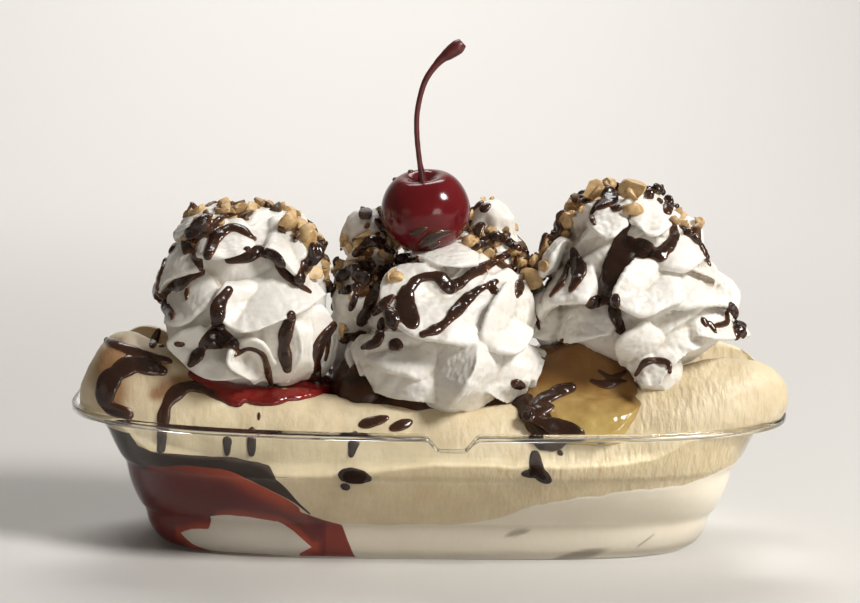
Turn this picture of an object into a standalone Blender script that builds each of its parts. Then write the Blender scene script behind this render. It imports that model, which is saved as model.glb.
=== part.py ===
"""Banana split in a clear plastic boat dish.

A long stepped dish holds soft ice cream between the two halves of a banana. Strawberry,
fudge and pineapple toppings cover the ice cream from left to right, and each carries a
piped swirl of whipped cream. A stemmed cherry sits on the middle swirl.
Metres, +Z up, origin at the middle of the dish's base, +X along the dish, -Y its front.
"""

import math

import bmesh
import bpy
from mathutils import Matrix, Vector

# Dish, thermoformed: its plan is a superellipse at every height.
RIM_LENGTH = 0.2050
RIM_WIDTH = 0.0924
DISH_HEIGHT = 0.0413
WALL = 0.0008
NOTCH_CENTRE = 0.0030
NOTCH_TOP_WIDTH = 0.0150
NOTCH_FLOOR_WIDTH = 0.0060
NOTCH_DEPTH = 0.0040
DISH_COLUMNS = 32

# Gap left between pieces that touch.
GAP = 0.0003

# Banana, halved lengthwise: the round sides face the long walls of the dish. Its middle
# line sags to SAG_HEIGHT and has risen by END_RISE at RISE_REACH from the dish's middle.
BANANA_HALF_LENGTH = 0.0975
BANANA_RADIUS = 0.0170
BANANA_SAG_HEIGHT = 0.0282
BANANA_END_RISE = 0.0180
BANANA_RISE_POWER = 3.4
BANANA_RISE_REACH = 0.0900
BANANA_STEEPEST = 0.45
BANANA_END_BLUNTNESS = 12
BANANA_END_CAP = 0.985
BANANA_FACE_MIDDLE = 0.0225
BANANA_FACE_LEFT = 0.0100
BANANA_FACE_RIGHT = 0.0185
BANANA_STATIONS = 17
BANANA_ROUND_POINTS = 9
BACK_HALF_SHIFT = Vector((0.0024, 0, -0.0020))

# Sauce that has run down in front: (x, height of the fudge run's middle), left to right.
RUN_LINE = [
    (-0.0905, 0.0375),
    (-0.0850, 0.0320),
    (-0.0780, 0.0295),
    (-0.0600, 0.0275),
    (-0.0470, 0.0250),
    (-0.0360, 0.0180),
    (-0.0280, 0.0148),
    (-0.0205, 0.0125),
]
RUN_THICKNESS = 0.0036
RUN_BACK = -0.0195

# Rounded heaps: centre, radii, squareness, columns and rows.
STRAWBERRY_HEAP = ((-0.0555, 0.002, 0.0240), (0.0350, 0.0225, 0.0280), 3.6, 18, 8)
FUDGE_HEAP = ((0.0030, -0.002, 0.0400), (0.0290, 0.0270, 0.0115), 2.6, 18, 8)
FUDGE_LOBE = ((0.0290, -0.027, 0.0445), (0.0080, 0.0170, 0.0110), 2.0, 14, 8)
PINEAPPLE_HEAP = ((0.0435, -0.012, 0.0450), (0.0190, 0.0310, 0.0130), 2.3, 18, 8)
LEFT_SCOOP = ((-0.0480, 0.000, 0.0190), (0.0320, 0.0180, 0.0172), 2.3, 16, 8)
LEFT_SCOOP_FRONT = ((-0.0520, -0.016, 0.0075), (0.0205, 0.0160, 0.0062), 2.0, 16, 8)
HEAP_UNEVENNESS = 0.025

# Ice cream between the banana halves: (x, half width, height of its top).
FILLING = [
    (-0.040, 0.0220, 0.040),
    (-0.022, 0.0240, 0.042),
    (-0.019, 0.0325, 0.043),
    (0.030, 0.0325, 0.044),
    (0.064, 0.0315, 0.044),
    (0.084, 0.0290, 0.041),
    (0.097, 0.0200, 0.036),
]

# Whipped cream: sharp star ridges that climb a tapering coil.
STAR_RIDGES = 7
RIDGE_POINTS = 4
RIDGE_DEPTH = 0.20
COIL_DEPTH = 0.16
COIL_TURNS = 2.4
SWIRL_TWIST = 1.5
SWIRL_RINGS = 13
# (share of the height, share of the radius)
SWIRL_PROFILE = [
    (0.00, 0.55),
    (0.05, 0.85),
    (0.15, 0.98),
    (0.35, 1.00),
    (0.55, 0.95),
    (0.70, 0.83),
    (0.82, 0.67),
    (0.92, 0.44),
    (0.98, 0.24),
    (1.00, 0.08),
]
# name: middle of the bottom, top, radii, angle at which the ridges start
SWIRLS = {
    "whipped_cream_left": (
        (-0.0550, -0.006, 0.0460), (-0.0510, -0.004, 0.0980), (0.0290, 0.0310), 0.4),
    "whipped_cream_centre": (
        (0.0005, -0.008, 0.0410), (0.0060, 0.002, 0.1005), (0.0325, 0.0325), 1.5),
    "whipped_cream_right": (
        (0.0595, -0.006, 0.0480), (0.0475, -0.004, 0.1065), (0.0320, 0.0325), 2.3),
}

# Cherry.
CHERRY_RADIUS = 0.0126
CHERRY_HEIGHT_SHARE = 0.95
CHERRY_CENTRE = Vector((-0.0035, -0.0090, 0.0972))
CHERRY_TILT = Matrix.Rotation(math.radians(14), 3, "X") @ Matrix.Rotation(
    math.radians(-8), 3, "Y"
)
CHERRY_LATITUDES = (-75, -58, -40, -20, 0, 20, 38, 52, 62, 70, 77, 85)
CHERRY_COLUMNS = 16
DIMPLE_DEPTH = 0.0044
DIMPLE_RADIUS = 0.0042

# Stem: (x, y, z, radius in stem radii) above the bottom of the cherry's dimple.
STEM_RADIUS = 0.00075
STEM_SIDES = 8
STEM_PATH = [
    (-0.0002, -0.0002, 0.0011, 1.8),
    (-0.0005, -0.0006, 0.0030, 1.3),
    (-0.0013, -0.0012, 0.0070, 1.0),
    (-0.0022, -0.0014, 0.0145, 1.0),
    (-0.0021, -0.0014, 0.0210, 1.0),
    (-0.0003, -0.0014, 0.0285, 1.1),
    (0.0032, -0.0014, 0.0338, 1.4),
    (0.0063, -0.0014, 0.0365, 2.4),
    (0.0084, -0.0014, 0.0381, 2.7),
    (0.0098, -0.0014, 0.0394, 1.9),
]


def clear_scene():
    for thing in list(bpy.data.objects):
        bpy.data.objects.remove(thing, do_unlink=True)


def material(name, colour, roughness):
    made = bpy.data.materials.new(name)
    made.use_nodes = True
    shader = made.node_tree.nodes["Principled BSDF"]
    shader.inputs["Base Color"].default_value = (*colour, 1.0)
    shader.inputs["Roughness"].default_value = roughness
    shader.inputs["Metallic"].default_value = 0.0
    return made


def closed_loft(name, rings):
    """A closed mesh through rings with as many points each, capped at the first and last."""
    shape = bmesh.new()
    made = [[shape.verts.new(point) for point in ring] for ring in rings]
    count = len(rings[0])
    for lower, upper in zip(made, made[1:]):
        for i in range(count):
            j = (i + 1) % count
            shape.faces.new((lower[i], lower[j], upper[j], upper[i]))
    shape.faces.new(made[0])
    shape.faces.new(made[-1])
    bmesh.ops.recalc_face_normals(shape, faces=shape.faces)
    bmesh.ops.triangulate(shape, faces=shape.faces)
    mesh = bpy.data.meshes.new(name)
    shape.to_mesh(mesh)
    shape.free()
    return mesh


def add_object(name, mesh):
    thing = bpy.data.objects.new(name, mesh)
    bpy.context.scene.collection.objects.link(thing)
    return thing


def node(name, mesh, finish, sharp_degrees=50):
    thing = add_object(name, mesh)
    mesh.materials.append(finish)
    mesh.shade_smooth()
    mesh.set_sharp_from_angle(angle=math.radians(sharp_degrees))
    return thing


def helper(mesh):
    """An object that only Booleans use."""
    thing = add_object(f"{mesh.name}_helper", mesh)
    thing.hide_render = True
    thing.display_type = "WIRE"
    return thing


def room_for(mesh):
    """A helper of the mesh with every point moved out by the gap, to cut neighbours with."""
    copy = mesh.copy()
    copy.name = f"{mesh.name}_room"
    normals = [normal.vector.copy() for normal in copy.vertex_normals]
    for point, normal in zip(copy.vertices, normals):
        point.co += normal * GAP
    return helper(copy)


def boolean(thing, operation, *others):
    for other in others:
        step = thing.modifiers.new(f"{operation.lower()}_{other.name}", "BOOLEAN")
        step.operation = operation
        step.solver = "EXACT"
        step.object = other


# Dish


def outer_wall():
    """(half length, half width, height, squareness) of the dish's outside, base to rim."""
    return [
        (0.0740, 0.0240, 0.0000, 3.4),
        (0.0785, 0.0263, 0.0016, 3.4),
        (0.0812, 0.0275, 0.0055, 3.4),
        (0.0824, 0.0281, 0.0108, 3.4),
        (0.0838, 0.0297, 0.0121, 3.4),
        (0.0864, 0.0345, 0.0185, 3.3),
        (0.0877, 0.0384, 0.0256, 3.2),
        (0.0893, 0.0400, 0.0267, 3.1),
        (0.0947, 0.0434, 0.0380, 2.9),
        (RIM_LENGTH / 2, RIM_WIDTH / 2, DISH_HEIGHT - WALL, 2.75),
    ]


def moved_in(stations, distance):
    """Stations moved in and up, which clears a wall that leans out by at least distance."""
    return [(a - distance, b - distance, z + distance, n) for a, b, z, n in stations]


def superellipse_point(station, angle):
    half_length, half_width, height, squareness = station
    cosine, sine = math.cos(angle), math.sin(angle)
    x = half_length * math.copysign(abs(cosine) ** (2 / squareness), cosine)
    y = half_width * math.copysign(abs(sine) ** (2 / squareness), sine)
    return Vector((x, y, height))


def rings_at(stations, angles):
    return [[superellipse_point(station, angle) for angle in angles] for station in stations]


def even_angles():
    return [2 * math.pi * i / DISH_COLUMNS for i in range(DISH_COLUMNS)]


def notch_share(point):
    """1 on the floor of a notch in the rim, 0 outside it, and between them on its slopes."""
    if abs(point.y) < RIM_WIDTH / 4:
        return 0.0
    slope = (NOTCH_TOP_WIDTH - NOTCH_FLOOR_WIDTH) / 2
    inside = NOTCH_TOP_WIDTH / 2 - abs(point.x - NOTCH_CENTRE)
    return max(0.0, min(1.0, inside / slope))


def notched_angles():
    """Even steps round the plan, with columns at the corners of both notches added."""
    angles = even_angles()
    squareness = outer_wall()[-1][3]
    for width in (NOTCH_TOP_WIDTH, NOTCH_FLOOR_WIDTH):
        for side in (-1, 1):
            x = NOTCH_CENTRE + side * width / 2
            cosine = math.copysign((abs(x) / (RIM_LENGTH / 2)) ** (squareness / 2), x)
            corner = math.acos(cosine)
            angles += [corner, 2 * math.pi - corner]
    return sorted(angles)


def dish_mesh():
    outside = outer_wall()
    end, side, _, squareness = outside[-1]
    rim = (end - WALL / 2, side - WALL / 2, DISH_HEIGHT, squareness)
    inside = [rim] + moved_in(outside[:-1], WALL)[::-1]
    rings = rings_at(outside + inside, notched_angles())
    for ring in (rings[len(outside) - 1], rings[len(outside)]):
        for point in ring:
            point.z -= NOTCH_DEPTH * notch_share(point)
    return closed_loft("dish", rings)


def space_for_contents():
    """Everything that the contents may fill: the dish's inside and the space above it."""
    clear = WALL + GAP
    beyond, top, step = 0.020, 0.160, 0.0001
    end, side, _, squareness = outer_wall()[-1]
    over_rim = DISH_HEIGHT + GAP
    stations = moved_in(outer_wall()[:-1], clear) + [
        (end - clear, side - clear, over_rim, squareness),
        (end + beyond, side + beyond, over_rim + step, squareness),
        (end + beyond, side + beyond, top, squareness),
    ]
    return helper(closed_loft("space", rings_at(stations, even_angles())))


# Banana


def banana_height(x):
    share = abs(x) / BANANA_RISE_REACH
    return BANANA_SAG_HEIGHT + BANANA_END_RISE * share**BANANA_RISE_POWER


def banana_slope(x):
    share = abs(x) / BANANA_RISE_REACH
    steepness = BANANA_END_RISE * BANANA_RISE_POWER / BANANA_RISE_REACH
    return min(BANANA_STEEPEST, steepness * share ** (BANANA_RISE_POWER - 1))


def banana_face(x):
    """Distance of the cut face from the dish's middle."""
    end = BANANA_FACE_LEFT if x < 0 else BANANA_FACE_RIGHT
    return BANANA_FACE_MIDDLE + (end - BANANA_FACE_MIDDLE) * abs(x) / BANANA_RISE_REACH


def banana_mesh(name, side, shift):
    """Half a banana, its round side facing -Y where side is -1 and +Y where it is 1."""
    widest = math.radians(80)
    rings = []
    for i in range(BANANA_STATIONS):
        turn = widest * (2 * i / (BANANA_STATIONS - 1) - 1)
        along = BANANA_END_CAP * math.sin(turn) / math.sin(widest)
        x = BANANA_HALF_LENGTH * along
        up = Vector((-math.copysign(banana_slope(x), x), 0, 1)).normalized()
        radius = BANANA_RADIUS * math.sqrt(1 - abs(along) ** BANANA_END_BLUNTNESS)
        centre = Vector((x, side * banana_face(x), banana_height(x))) + shift
        ring = []
        for j in range(BANANA_ROUND_POINTS):
            turn = math.pi * j / (BANANA_ROUND_POINTS - 1)
            outward = Vector((0, side * radius * math.sin(turn) ** 0.9, 0))
            ring.append(centre + up * radius * math.cos(turn) + outward)
        for share in (-0.5, 0.5):
            ring.append(centre + up * radius * share)
        rings.append(ring)
    return closed_loft(name, rings)


# Ice cream and toppings


def band_mesh(name, bottom, top, near, far):
    """A band along RUN_LINE, from bottom to top of a height on it and from near to far in y."""
    rings = []
    for x, height in RUN_LINE:
        low, high = bottom(height), top(height)
        corners = ((near, low), (far, low), (far, high), (near, high))
        rings.append([Vector((x, y, z)) for y, z in corners])
    return closed_loft(name, rings)


def heap_mesh(name, centre, radii, squareness, columns, rows):
    """A rounded heap: a superellipsoid with a gently uneven surface."""
    rings = []
    for i in range(1, rows):
        tilt = math.pi * i / rows - math.pi / 2
        ring = []
        for j in range(columns):
            turn = 2 * math.pi * j / columns
            away = (math.cos(turn) * math.cos(tilt), math.sin(turn) * math.cos(tilt),
                    math.sin(tilt))
            size = sum(abs(part) ** squareness for part in away) ** (-1 / squareness)
            wave = math.sin(3 * turn + 4 * tilt) * math.cos(tilt)
            size *= 1 + HEAP_UNEVENNESS * wave
            reach = Vector([part * radius for part, radius in zip(away, radii)])
            ring.append(Vector(centre) + reach * size)
        rings.append(ring)
    return closed_loft(name, rings)


def filling_mesh():
    below_base, shoulder, flat = -0.005, 0.85, 0.6
    rings = []
    for x, width, top in FILLING:
        outline = [(-width, below_base), (width, below_base), (width, shoulder * top),
                   (flat * width, top), (-flat * width, top), (-width, shoulder * top)]
        rings.append([Vector((x, y, z)) for y, z in outline])
    return closed_loft("ice_cream", rings)


# Whipped cream


def profile_share(height):
    for (low, near), (high, far) in zip(SWIRL_PROFILE, SWIRL_PROFILE[1:]):
        if height <= high:
            return near + (far - near) * (height - low) / (high - low)
    return SWIRL_PROFILE[-1][1]


def swirl_mesh(name, bottom, top, radii, start):
    """A piped swirl from bottom to top, with ridges that wind round it as they climb."""
    points = STAR_RIDGES * RIDGE_POINTS
    rings = []
    for i in range(SWIRL_RINGS):
        height = 1 - (1 - i / (SWIRL_RINGS - 1)) ** 1.15
        centre = Vector(bottom).lerp(Vector(top), height)
        coil = COIL_DEPTH * (1 - height)
        ridge = RIDGE_DEPTH * (1 - height**3)
        ring = []
        for j in range(points):
            turn = 2 * math.pi * j / points
            star = 1 - ridge * abs(math.sin(STAR_RIDGES * turn / 2))
            lap = abs(math.sin(math.pi * COIL_TURNS * height - turn / 2 + start))
            size = profile_share(height) * star * (1 - coil + coil * lap)
            wound = turn + start + SWIRL_TWIST * height
            away = Vector((radii[0] * math.cos(wound), radii[1] * math.sin(wound), 0))
            ring.append(centre + away * size)
        rings.append(ring)
    return closed_loft(name, rings)


# Cherry


def cherry_mesh():
    rings = []
    for degrees in CHERRY_LATITUDES:
        tilt = math.radians(degrees)
        radius = CHERRY_RADIUS * math.cos(tilt)
        height = CHERRY_HEIGHT_SHARE * CHERRY_RADIUS * math.sin(tilt)
        if degrees > 0:
            height -= DIMPLE_DEPTH * math.exp(-((radius / DIMPLE_RADIUS) ** 2))
        ring = []
        for j in range(CHERRY_COLUMNS):
            turn = 2 * math.pi * j / CHERRY_COLUMNS
            point = Vector((radius * math.cos(turn), radius * math.sin(turn), height))
            ring.append(CHERRY_CENTRE + CHERRY_TILT @ point)
        rings.append(ring)
    return closed_loft("cherry", rings)


def stem_mesh():
    depth = CHERRY_HEIGHT_SHARE * CHERRY_RADIUS - DIMPLE_DEPTH
    seat = CHERRY_CENTRE + CHERRY_TILT @ Vector((0, 0, depth))
    points = [seat + Vector(step[:3]) for step in STEM_PATH]
    turns = [2 * math.pi * j / STEM_SIDES for j in range(STEM_SIDES)]
    rings = []
    for i, point in enumerate(points):
        along = points[min(i + 1, len(points) - 1)] - points[max(i - 1, 0)]
        across = along.cross(Vector((0, 1, 0))).normalized()
        other = along.cross(across).normalized()
        radius = STEM_RADIUS * STEM_PATH[i][3]
        rings.append([point + radius * (across * math.cos(turn) + other * math.sin(turn))
                      for turn in turns])
    return closed_loft("cherry_stem", rings)


# Assembly


def add_bananas(space, finish):
    """Both halves. Returns the helpers that keep the other contents clear of them."""
    rooms = []
    for name, side, shift in (
        ("banana_front", -1, Vector((0, 0, 0))),
        ("banana_back", 1, BACK_HALF_SHIFT),
    ):
        mesh = banana_mesh(name, side, shift)
        boolean(node(name, mesh, finish), "INTERSECT", space)
        rooms.append(room_for(mesh))
    return rooms


def add_filling(space, bananas, strawberry, fudge, pineapple, vanilla):
    """Sauces, toppings and ice cream. Returns the helpers that keep the cream clear."""
    half_run = RUN_THICKNESS / 2
    outside, behind, below_base = -0.060, 0.060, -0.010

    run_mesh = band_mesh("fudge_run", lambda height: height - half_run,
                         lambda height: height + half_run, outside, RUN_BACK)
    run = node("fudge_run", run_mesh, fudge)
    boolean(run, "INTERSECT", space)
    boolean(run, "DIFFERENCE", bananas[0])
    run_room = room_for(run_mesh)

    scoop = heap_mesh("left_scoop", *LEFT_SCOOP)
    scoop_front = heap_mesh("left_scoop_front", *LEFT_SCOOP_FRONT)
    pool = band_mesh("pool", lambda height: below_base,
                     lambda height: height - half_run, outside, behind)
    heap = heap_mesh("strawberry_topping", *STRAWBERRY_HEAP)
    sauce = node("strawberry_topping", heap, strawberry)
    boolean(sauce, "UNION", helper(pool))
    boolean(sauce, "INTERSECT", space)
    boolean(sauce, "DIFFERENCE", *bananas, run_room, room_for(scoop), room_for(scoop_front))
    sauce_room = room_for(heap)
    boolean(sauce_room, "UNION", room_for(pool))

    fudge_mesh = heap_mesh("fudge_topping", *FUDGE_HEAP)
    lobe = heap_mesh("fudge_lobe", *FUDGE_LOBE)
    fudge_topping = node("fudge_topping", fudge_mesh, fudge)
    boolean(fudge_topping, "UNION", helper(lobe))
    boolean(fudge_topping, "INTERSECT", space)
    boolean(fudge_topping, "DIFFERENCE", *bananas, sauce_room)
    fudge_room = room_for(fudge_mesh)
    boolean(fudge_room, "UNION", room_for(lobe))

    pineapple_mesh = heap_mesh("pineapple_topping", *PINEAPPLE_HEAP)
    pineapple_topping = node("pineapple_topping", pineapple_mesh, pineapple)
    boolean(pineapple_topping, "INTERSECT", space)
    boolean(pineapple_topping, "DIFFERENCE", *bananas, fudge_room)

    rooms = [run_room, sauce_room, fudge_room, room_for(pineapple_mesh)]
    inner = helper(scoop)
    boolean(inner, "DIFFERENCE", *bananas)
    front = helper(scoop_front)
    boolean(front, "INTERSECT", space)
    boolean(front, "DIFFERENCE", bananas[0])
    filling = filling_mesh()
    ice_cream = node("ice_cream", filling, vanilla)
    boolean(ice_cream, "INTERSECT", space)
    boolean(ice_cream, "DIFFERENCE", *bananas, *rooms)
    boolean(ice_cream, "UNION", inner, front)
    return rooms + [room_for(filling)]


def main():
    clear_scene()
    plastic = material("clear_plastic", (0.93, 0.94, 0.94), 0.08)
    flesh = material("banana", (0.84, 0.74, 0.52), 0.55)
    vanilla = material("ice_cream", (0.86, 0.82, 0.72), 0.45)
    strawberry = material("strawberry_sauce", (0.38, 0.02, 0.02), 0.18)
    fudge = material("fudge_sauce", (0.06, 0.025, 0.015), 0.15)
    pineapple = material("pineapple_sauce", (0.66, 0.42, 0.10), 0.15)
    cream = material("whipped_cream", (0.90, 0.88, 0.83), 0.50)
    skin = material("cherry_skin", (0.22, 0.008, 0.012), 0.12)
    stalk = material("cherry_stalk", (0.16, 0.03, 0.03), 0.45)

    space = space_for_contents()
    node("dish", dish_mesh(), plastic, 30)
    bananas = add_bananas(space, flesh)
    rooms = add_filling(space, bananas, strawberry, fudge, pineapple, vanilla)

    cherry = cherry_mesh()
    node("cherry", cherry, skin)
    node("cherry_stem", stem_mesh(), stalk)

    neighbours = []
    for name, (bottom, top, radii, start) in SWIRLS.items():
        mesh = swirl_mesh(name, bottom, top, radii, start)
        swirl = node(name, mesh, cream, 60)
        boolean(swirl, "DIFFERENCE", *bananas, *rooms, *neighbours)
        if name == "whipped_cream_centre":
            boolean(swirl, "DIFFERENCE", room_for(cherry))
        neighbours.append(room_for(mesh))


main()
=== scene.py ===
import math
import random

import bmesh
import bpy
import numpy as np
from mathutils import Matrix, Vector, noise
from mathutils.bvhtree import BVHTree


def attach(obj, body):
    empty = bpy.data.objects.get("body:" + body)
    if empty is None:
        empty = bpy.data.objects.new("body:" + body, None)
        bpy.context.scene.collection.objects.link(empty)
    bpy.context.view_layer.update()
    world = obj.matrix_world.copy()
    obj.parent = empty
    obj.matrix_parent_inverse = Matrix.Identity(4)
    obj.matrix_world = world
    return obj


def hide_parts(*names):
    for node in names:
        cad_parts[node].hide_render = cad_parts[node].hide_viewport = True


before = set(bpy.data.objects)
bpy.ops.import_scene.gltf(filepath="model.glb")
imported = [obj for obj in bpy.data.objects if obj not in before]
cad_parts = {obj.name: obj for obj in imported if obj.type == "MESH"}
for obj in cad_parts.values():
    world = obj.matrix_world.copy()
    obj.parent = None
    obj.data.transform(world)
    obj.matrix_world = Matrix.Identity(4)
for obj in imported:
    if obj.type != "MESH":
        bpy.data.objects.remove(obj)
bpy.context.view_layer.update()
mm = 0.001

# Where the dish is looked at from; the syrup and nuts are laid on as seen from here too.
camera = {
    "aim": (-0.0011, 0.0, 0.0697),
    "distance": 0.4766,
    "rise": 8.65,
    "swing": -3.4,
    "roll": 1.53,
    "lens": 68.93,
}
rise, swing = math.radians(camera["rise"]), math.radians(camera["swing"])
away = Vector((math.sin(swing) * math.cos(rise), -math.cos(swing) * math.cos(rise), math.sin(rise)))
viewPoint = Vector(camera["aim"]) + away * camera["distance"]


def placeCamera():
    across = Vector((0, 0, 1)).cross(away).normalized()
    turned = Matrix((across, away.cross(across), away)).transposed().to_4x4()
    data = bpy.data.cameras.new("camera")
    data.lens = camera["lens"]
    data.sensor_width = 36
    data.clip_start = 0.01
    thing = bpy.data.objects.new("camera", data)
    bpy.context.scene.collection.objects.link(thing)
    thing.matrix_world = (
        Matrix.Translation(viewPoint) @ turned @ Matrix.Rotation(math.radians(camera["roll"]), 4, "Z")
    )
    bpy.context.scene.camera = thing


# ---- general making

def selectOnly(piece):
    bpy.ops.object.select_all(action="DESELECT")
    piece.select_set(True)
    bpy.context.view_layer.objects.active = piece


def newPiece(name, mesh, material=None):
    piece = bpy.data.objects.new(name, mesh)
    bpy.context.scene.collection.objects.link(piece)
    if material:
        mesh.materials.append(material)
    mesh.shade_smooth()
    return piece


def meshFrom(name, points, faces):
    mesh = bpy.data.meshes.new(name)
    mesh.from_pydata([tuple(point) for point in points], [], [tuple(face) for face in faces])
    mesh.update()
    return mesh


def faceOut(mesh):
    shape = bmesh.new()
    shape.from_mesh(mesh)
    bmesh.ops.recalc_face_normals(shape, faces=shape.faces)
    shape.to_mesh(mesh)
    shape.free()


def loftMesh(name, rings):
    """"""
    count = len(rings[0])
    points = [point for ring in rings for point in ring]
    faces = []
    for i in range(len(rings) - 1):
        for j in range(count):
            k = (j + 1) % count
            faces.append((i * count + j, i * count + k, (i + 1) * count + k, (i + 1) * count + j))
    for ring in (0, len(rings) - 1):
        points.append(sum((Vector(p) for p in rings[ring]), Vector()) / count)
        hub = len(points) - 1
        for j in range(count):
            faces.append((ring * count + j, ring * count + (j + 1) % count, hub))
    mesh = meshFrom(name, points, faces)
    faceOut(mesh)
    return mesh


def applyStep(piece, kind, **settings):
    selectOnly(piece)
    step = piece.modifiers.new(kind.lower(), kind)
    for key, value in settings.items():
        setattr(step, key, value)
    bpy.ops.object.modifier_apply(modifier=step.name)


def fuse(piece, grain, smoothing=1, factor=0.5):
    """"""
    applyStep(piece, "REMESH", mode="VOXEL", voxel_size=grain * mm, use_smooth_shade=True)
    if smoothing:
        applyStep(piece, "SMOOTH", factor=factor, iterations=smoothing)


def corners(mesh):
    flat = np.empty(len(mesh.vertices) * 3)
    mesh.vertices.foreach_get("co", flat)
    return flat.reshape(-1, 3)


def setCorners(mesh, places):
    mesh.vertices.foreach_set("co", places.ravel())
    mesh.update()


def roughen(piece, waves, mask=None):
    """"""
    mesh = piece.data
    places = corners(mesh)
    normals = np.empty(len(mesh.vertices) * 3)
    mesh.vertex_normals.foreach_get("vector", normals)
    normals = normals.reshape(-1, 3)
    for i, place in enumerate(places):
        at = Vector(place) / mm
        share = mask(at) if mask else 1.0
        lift = sum(height * noise.noise(at / size + Vector((7.1 * size, 3, 5))) for size, height in waves)
        places[i] = place + normals[i] * lift * share * mm
    setCorners(mesh, places)


def joinPieces(pieces):
    selectOnly(pieces[0])
    for piece in pieces[1:]:
        piece.select_set(True)
    bpy.ops.object.join()
    return pieces[0]


def treeOf(pieces):
    points, faces = [], []
    for piece in pieces:
        start = len(points)
        points += [tuple(p) for p in corners(piece.data)]
        faces += [tuple(start + v for v in f.vertices) for f in piece.data.polygons]
    return BVHTree.FromPolygons(points, faces)


def curveThrough(points, spacing):
    """"""
    points = [np.array(p, float) for p in points]
    padded = [2 * points[0] - points[1], *points, 2 * points[-1] - points[-2]]
    made = []
    for a, b, c, d in zip(padded, padded[1:], padded[2:], padded[3:]):
        count = max(1, int(np.linalg.norm((c - b)[:-1]) / spacing))
        for step in range(count):
            t = step / count
            made.append(
                0.5 * (2 * b + (c - a) * t + (2 * a - 5 * b + 4 * c - d) * t * t + (3 * b - a - 3 * c + d) * t**3)
            )
    made.append(points[-1])
    return made


# ---- shader groups

def addNode(tree, kind, inputs=None, **settings):
    made = tree.nodes.new(kind)
    for key, value in settings.items():
        setattr(made, key, value)
    for key, value in (inputs or {}).items():
        made.inputs[key].default_value = value
    return made


def newGroup(name, inputs, outputs):
    group = bpy.data.node_groups.new(name, "ShaderNodeTree")
    for label, kind, value in inputs:
        socket = group.interface.new_socket(name=label, in_out="INPUT", socket_type=kind)
        socket.default_value = value
    for label, kind in outputs:
        group.interface.new_socket(name=label, in_out="OUTPUT", socket_type=kind)
    start = addNode(group, "NodeGroupInput")
    end = addNode(group, "NodeGroupOutput")
    return group, start, end


number, colour, direction = "NodeSocketFloat", "NodeSocketColor", "NodeSocketVector"


def mottleGroup():
    group, start, end = newGroup(
        "mottle",
        [("Light", colour, (1, 1, 1, 1)), ("Dark", colour, (0, 0, 0, 1)), ("Patch Size mm", number, 5.0),
         ("Edge Softness", number, 0.2)],
        [("Color", colour), ("Mask", number)],
    )
    place = addNode(group, "ShaderNodeTexCoord")
    scale = addNode(group, "ShaderNodeMath", {0: 1000.0}, operation="DIVIDE")
    grain = addNode(group, "ShaderNodeTexNoise", {"Detail": 4.0, "Roughness": 0.6})
    low = addNode(group, "ShaderNodeMath", {0: 0.5}, operation="SUBTRACT")
    high = addNode(group, "ShaderNodeMath", {0: 0.5}, operation="ADD")
    spread = addNode(group, "ShaderNodeMapRange")
    blend = addNode(group, "ShaderNodeMix", data_type="RGBA")
    link = group.links.new
    link(start.outputs["Patch Size mm"], scale.inputs[1])
    link(place.outputs["Object"], grain.inputs["Vector"])
    link(scale.outputs[0], grain.inputs["Scale"])
    link(start.outputs["Edge Softness"], low.inputs[1])
    link(start.outputs["Edge Softness"], high.inputs[1])
    link(grain.outputs["Fac"], spread.inputs["Value"])
    link(low.outputs[0], spread.inputs["From Min"])
    link(high.outputs[0], spread.inputs["From Max"])
    link(spread.outputs["Result"], blend.inputs[0])
    link(start.outputs["Dark"], blend.inputs[6])
    link(start.outputs["Light"], blend.inputs[7])
    link(blend.outputs[2], end.inputs["Color"])
    link(spread.outputs["Result"], end.inputs["Mask"])
    return group


def reliefGroup():
    group, start, end = newGroup(
        "relief",
        [("Coarse Size mm", number, 3.0), ("Coarse Depth mm", number, 0.1), ("Fine Size mm", number, 0.5),
         ("Fine Depth mm", number, 0.02)],
        [("Normal", direction), ("Height", number)],
    )
    place = addNode(group, "ShaderNodeTexCoord")
    link = group.links.new
    last = None
    for label in ("Coarse", "Fine"):
        scale = addNode(group, "ShaderNodeMath", {0: 1000.0}, operation="DIVIDE")
        grain = addNode(group, "ShaderNodeTexNoise", {"Detail": 3.0, "Roughness": 0.55})
        depth = addNode(group, "ShaderNodeMath", {1: 0.001}, operation="MULTIPLY")
        bump = addNode(group, "ShaderNodeBump", {"Strength": 1.0})
        link(start.outputs[f"{label} Size mm"], scale.inputs[1])
        link(place.outputs["Object"], grain.inputs["Vector"])
        link(scale.outputs[0], grain.inputs["Scale"])
        link(start.outputs[f"{label} Depth mm"], depth.inputs[0])
        link(depth.outputs[0], bump.inputs["Distance"])
        link(grain.outputs["Fac"], bump.inputs["Height"])
        if last:
            link(last.outputs["Normal"], bump.inputs["Normal"])
        last = bump
    link(last.outputs["Normal"], end.inputs["Normal"])
    link(grain.outputs["Fac"], end.inputs["Height"])
    return group


mottle, relief = mottleGroup(), reliefGroup()


def startMaterial(name, roughness=0.5, **constants):
    made = bpy.data.materials.new(name)
    made.use_nodes = True
    shader = made.node_tree.nodes["Principled BSDF"]
    shader.inputs["Roughness"].default_value = roughness
    for key, value in constants.items():
        shader.inputs[key.replace("_", " ")].default_value = value
    return made, made.node_tree, shader


def addGroup(tree, group, inputs):
    return addNode(tree, "ShaderNodeGroup", None, node_tree=group), inputs


def useGroup(tree, group, inputs):
    made = tree.nodes.new("ShaderNodeGroup")
    made.node_tree = group
    for key, value in inputs.items():
        made.inputs[key].default_value = value
    return made


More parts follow.
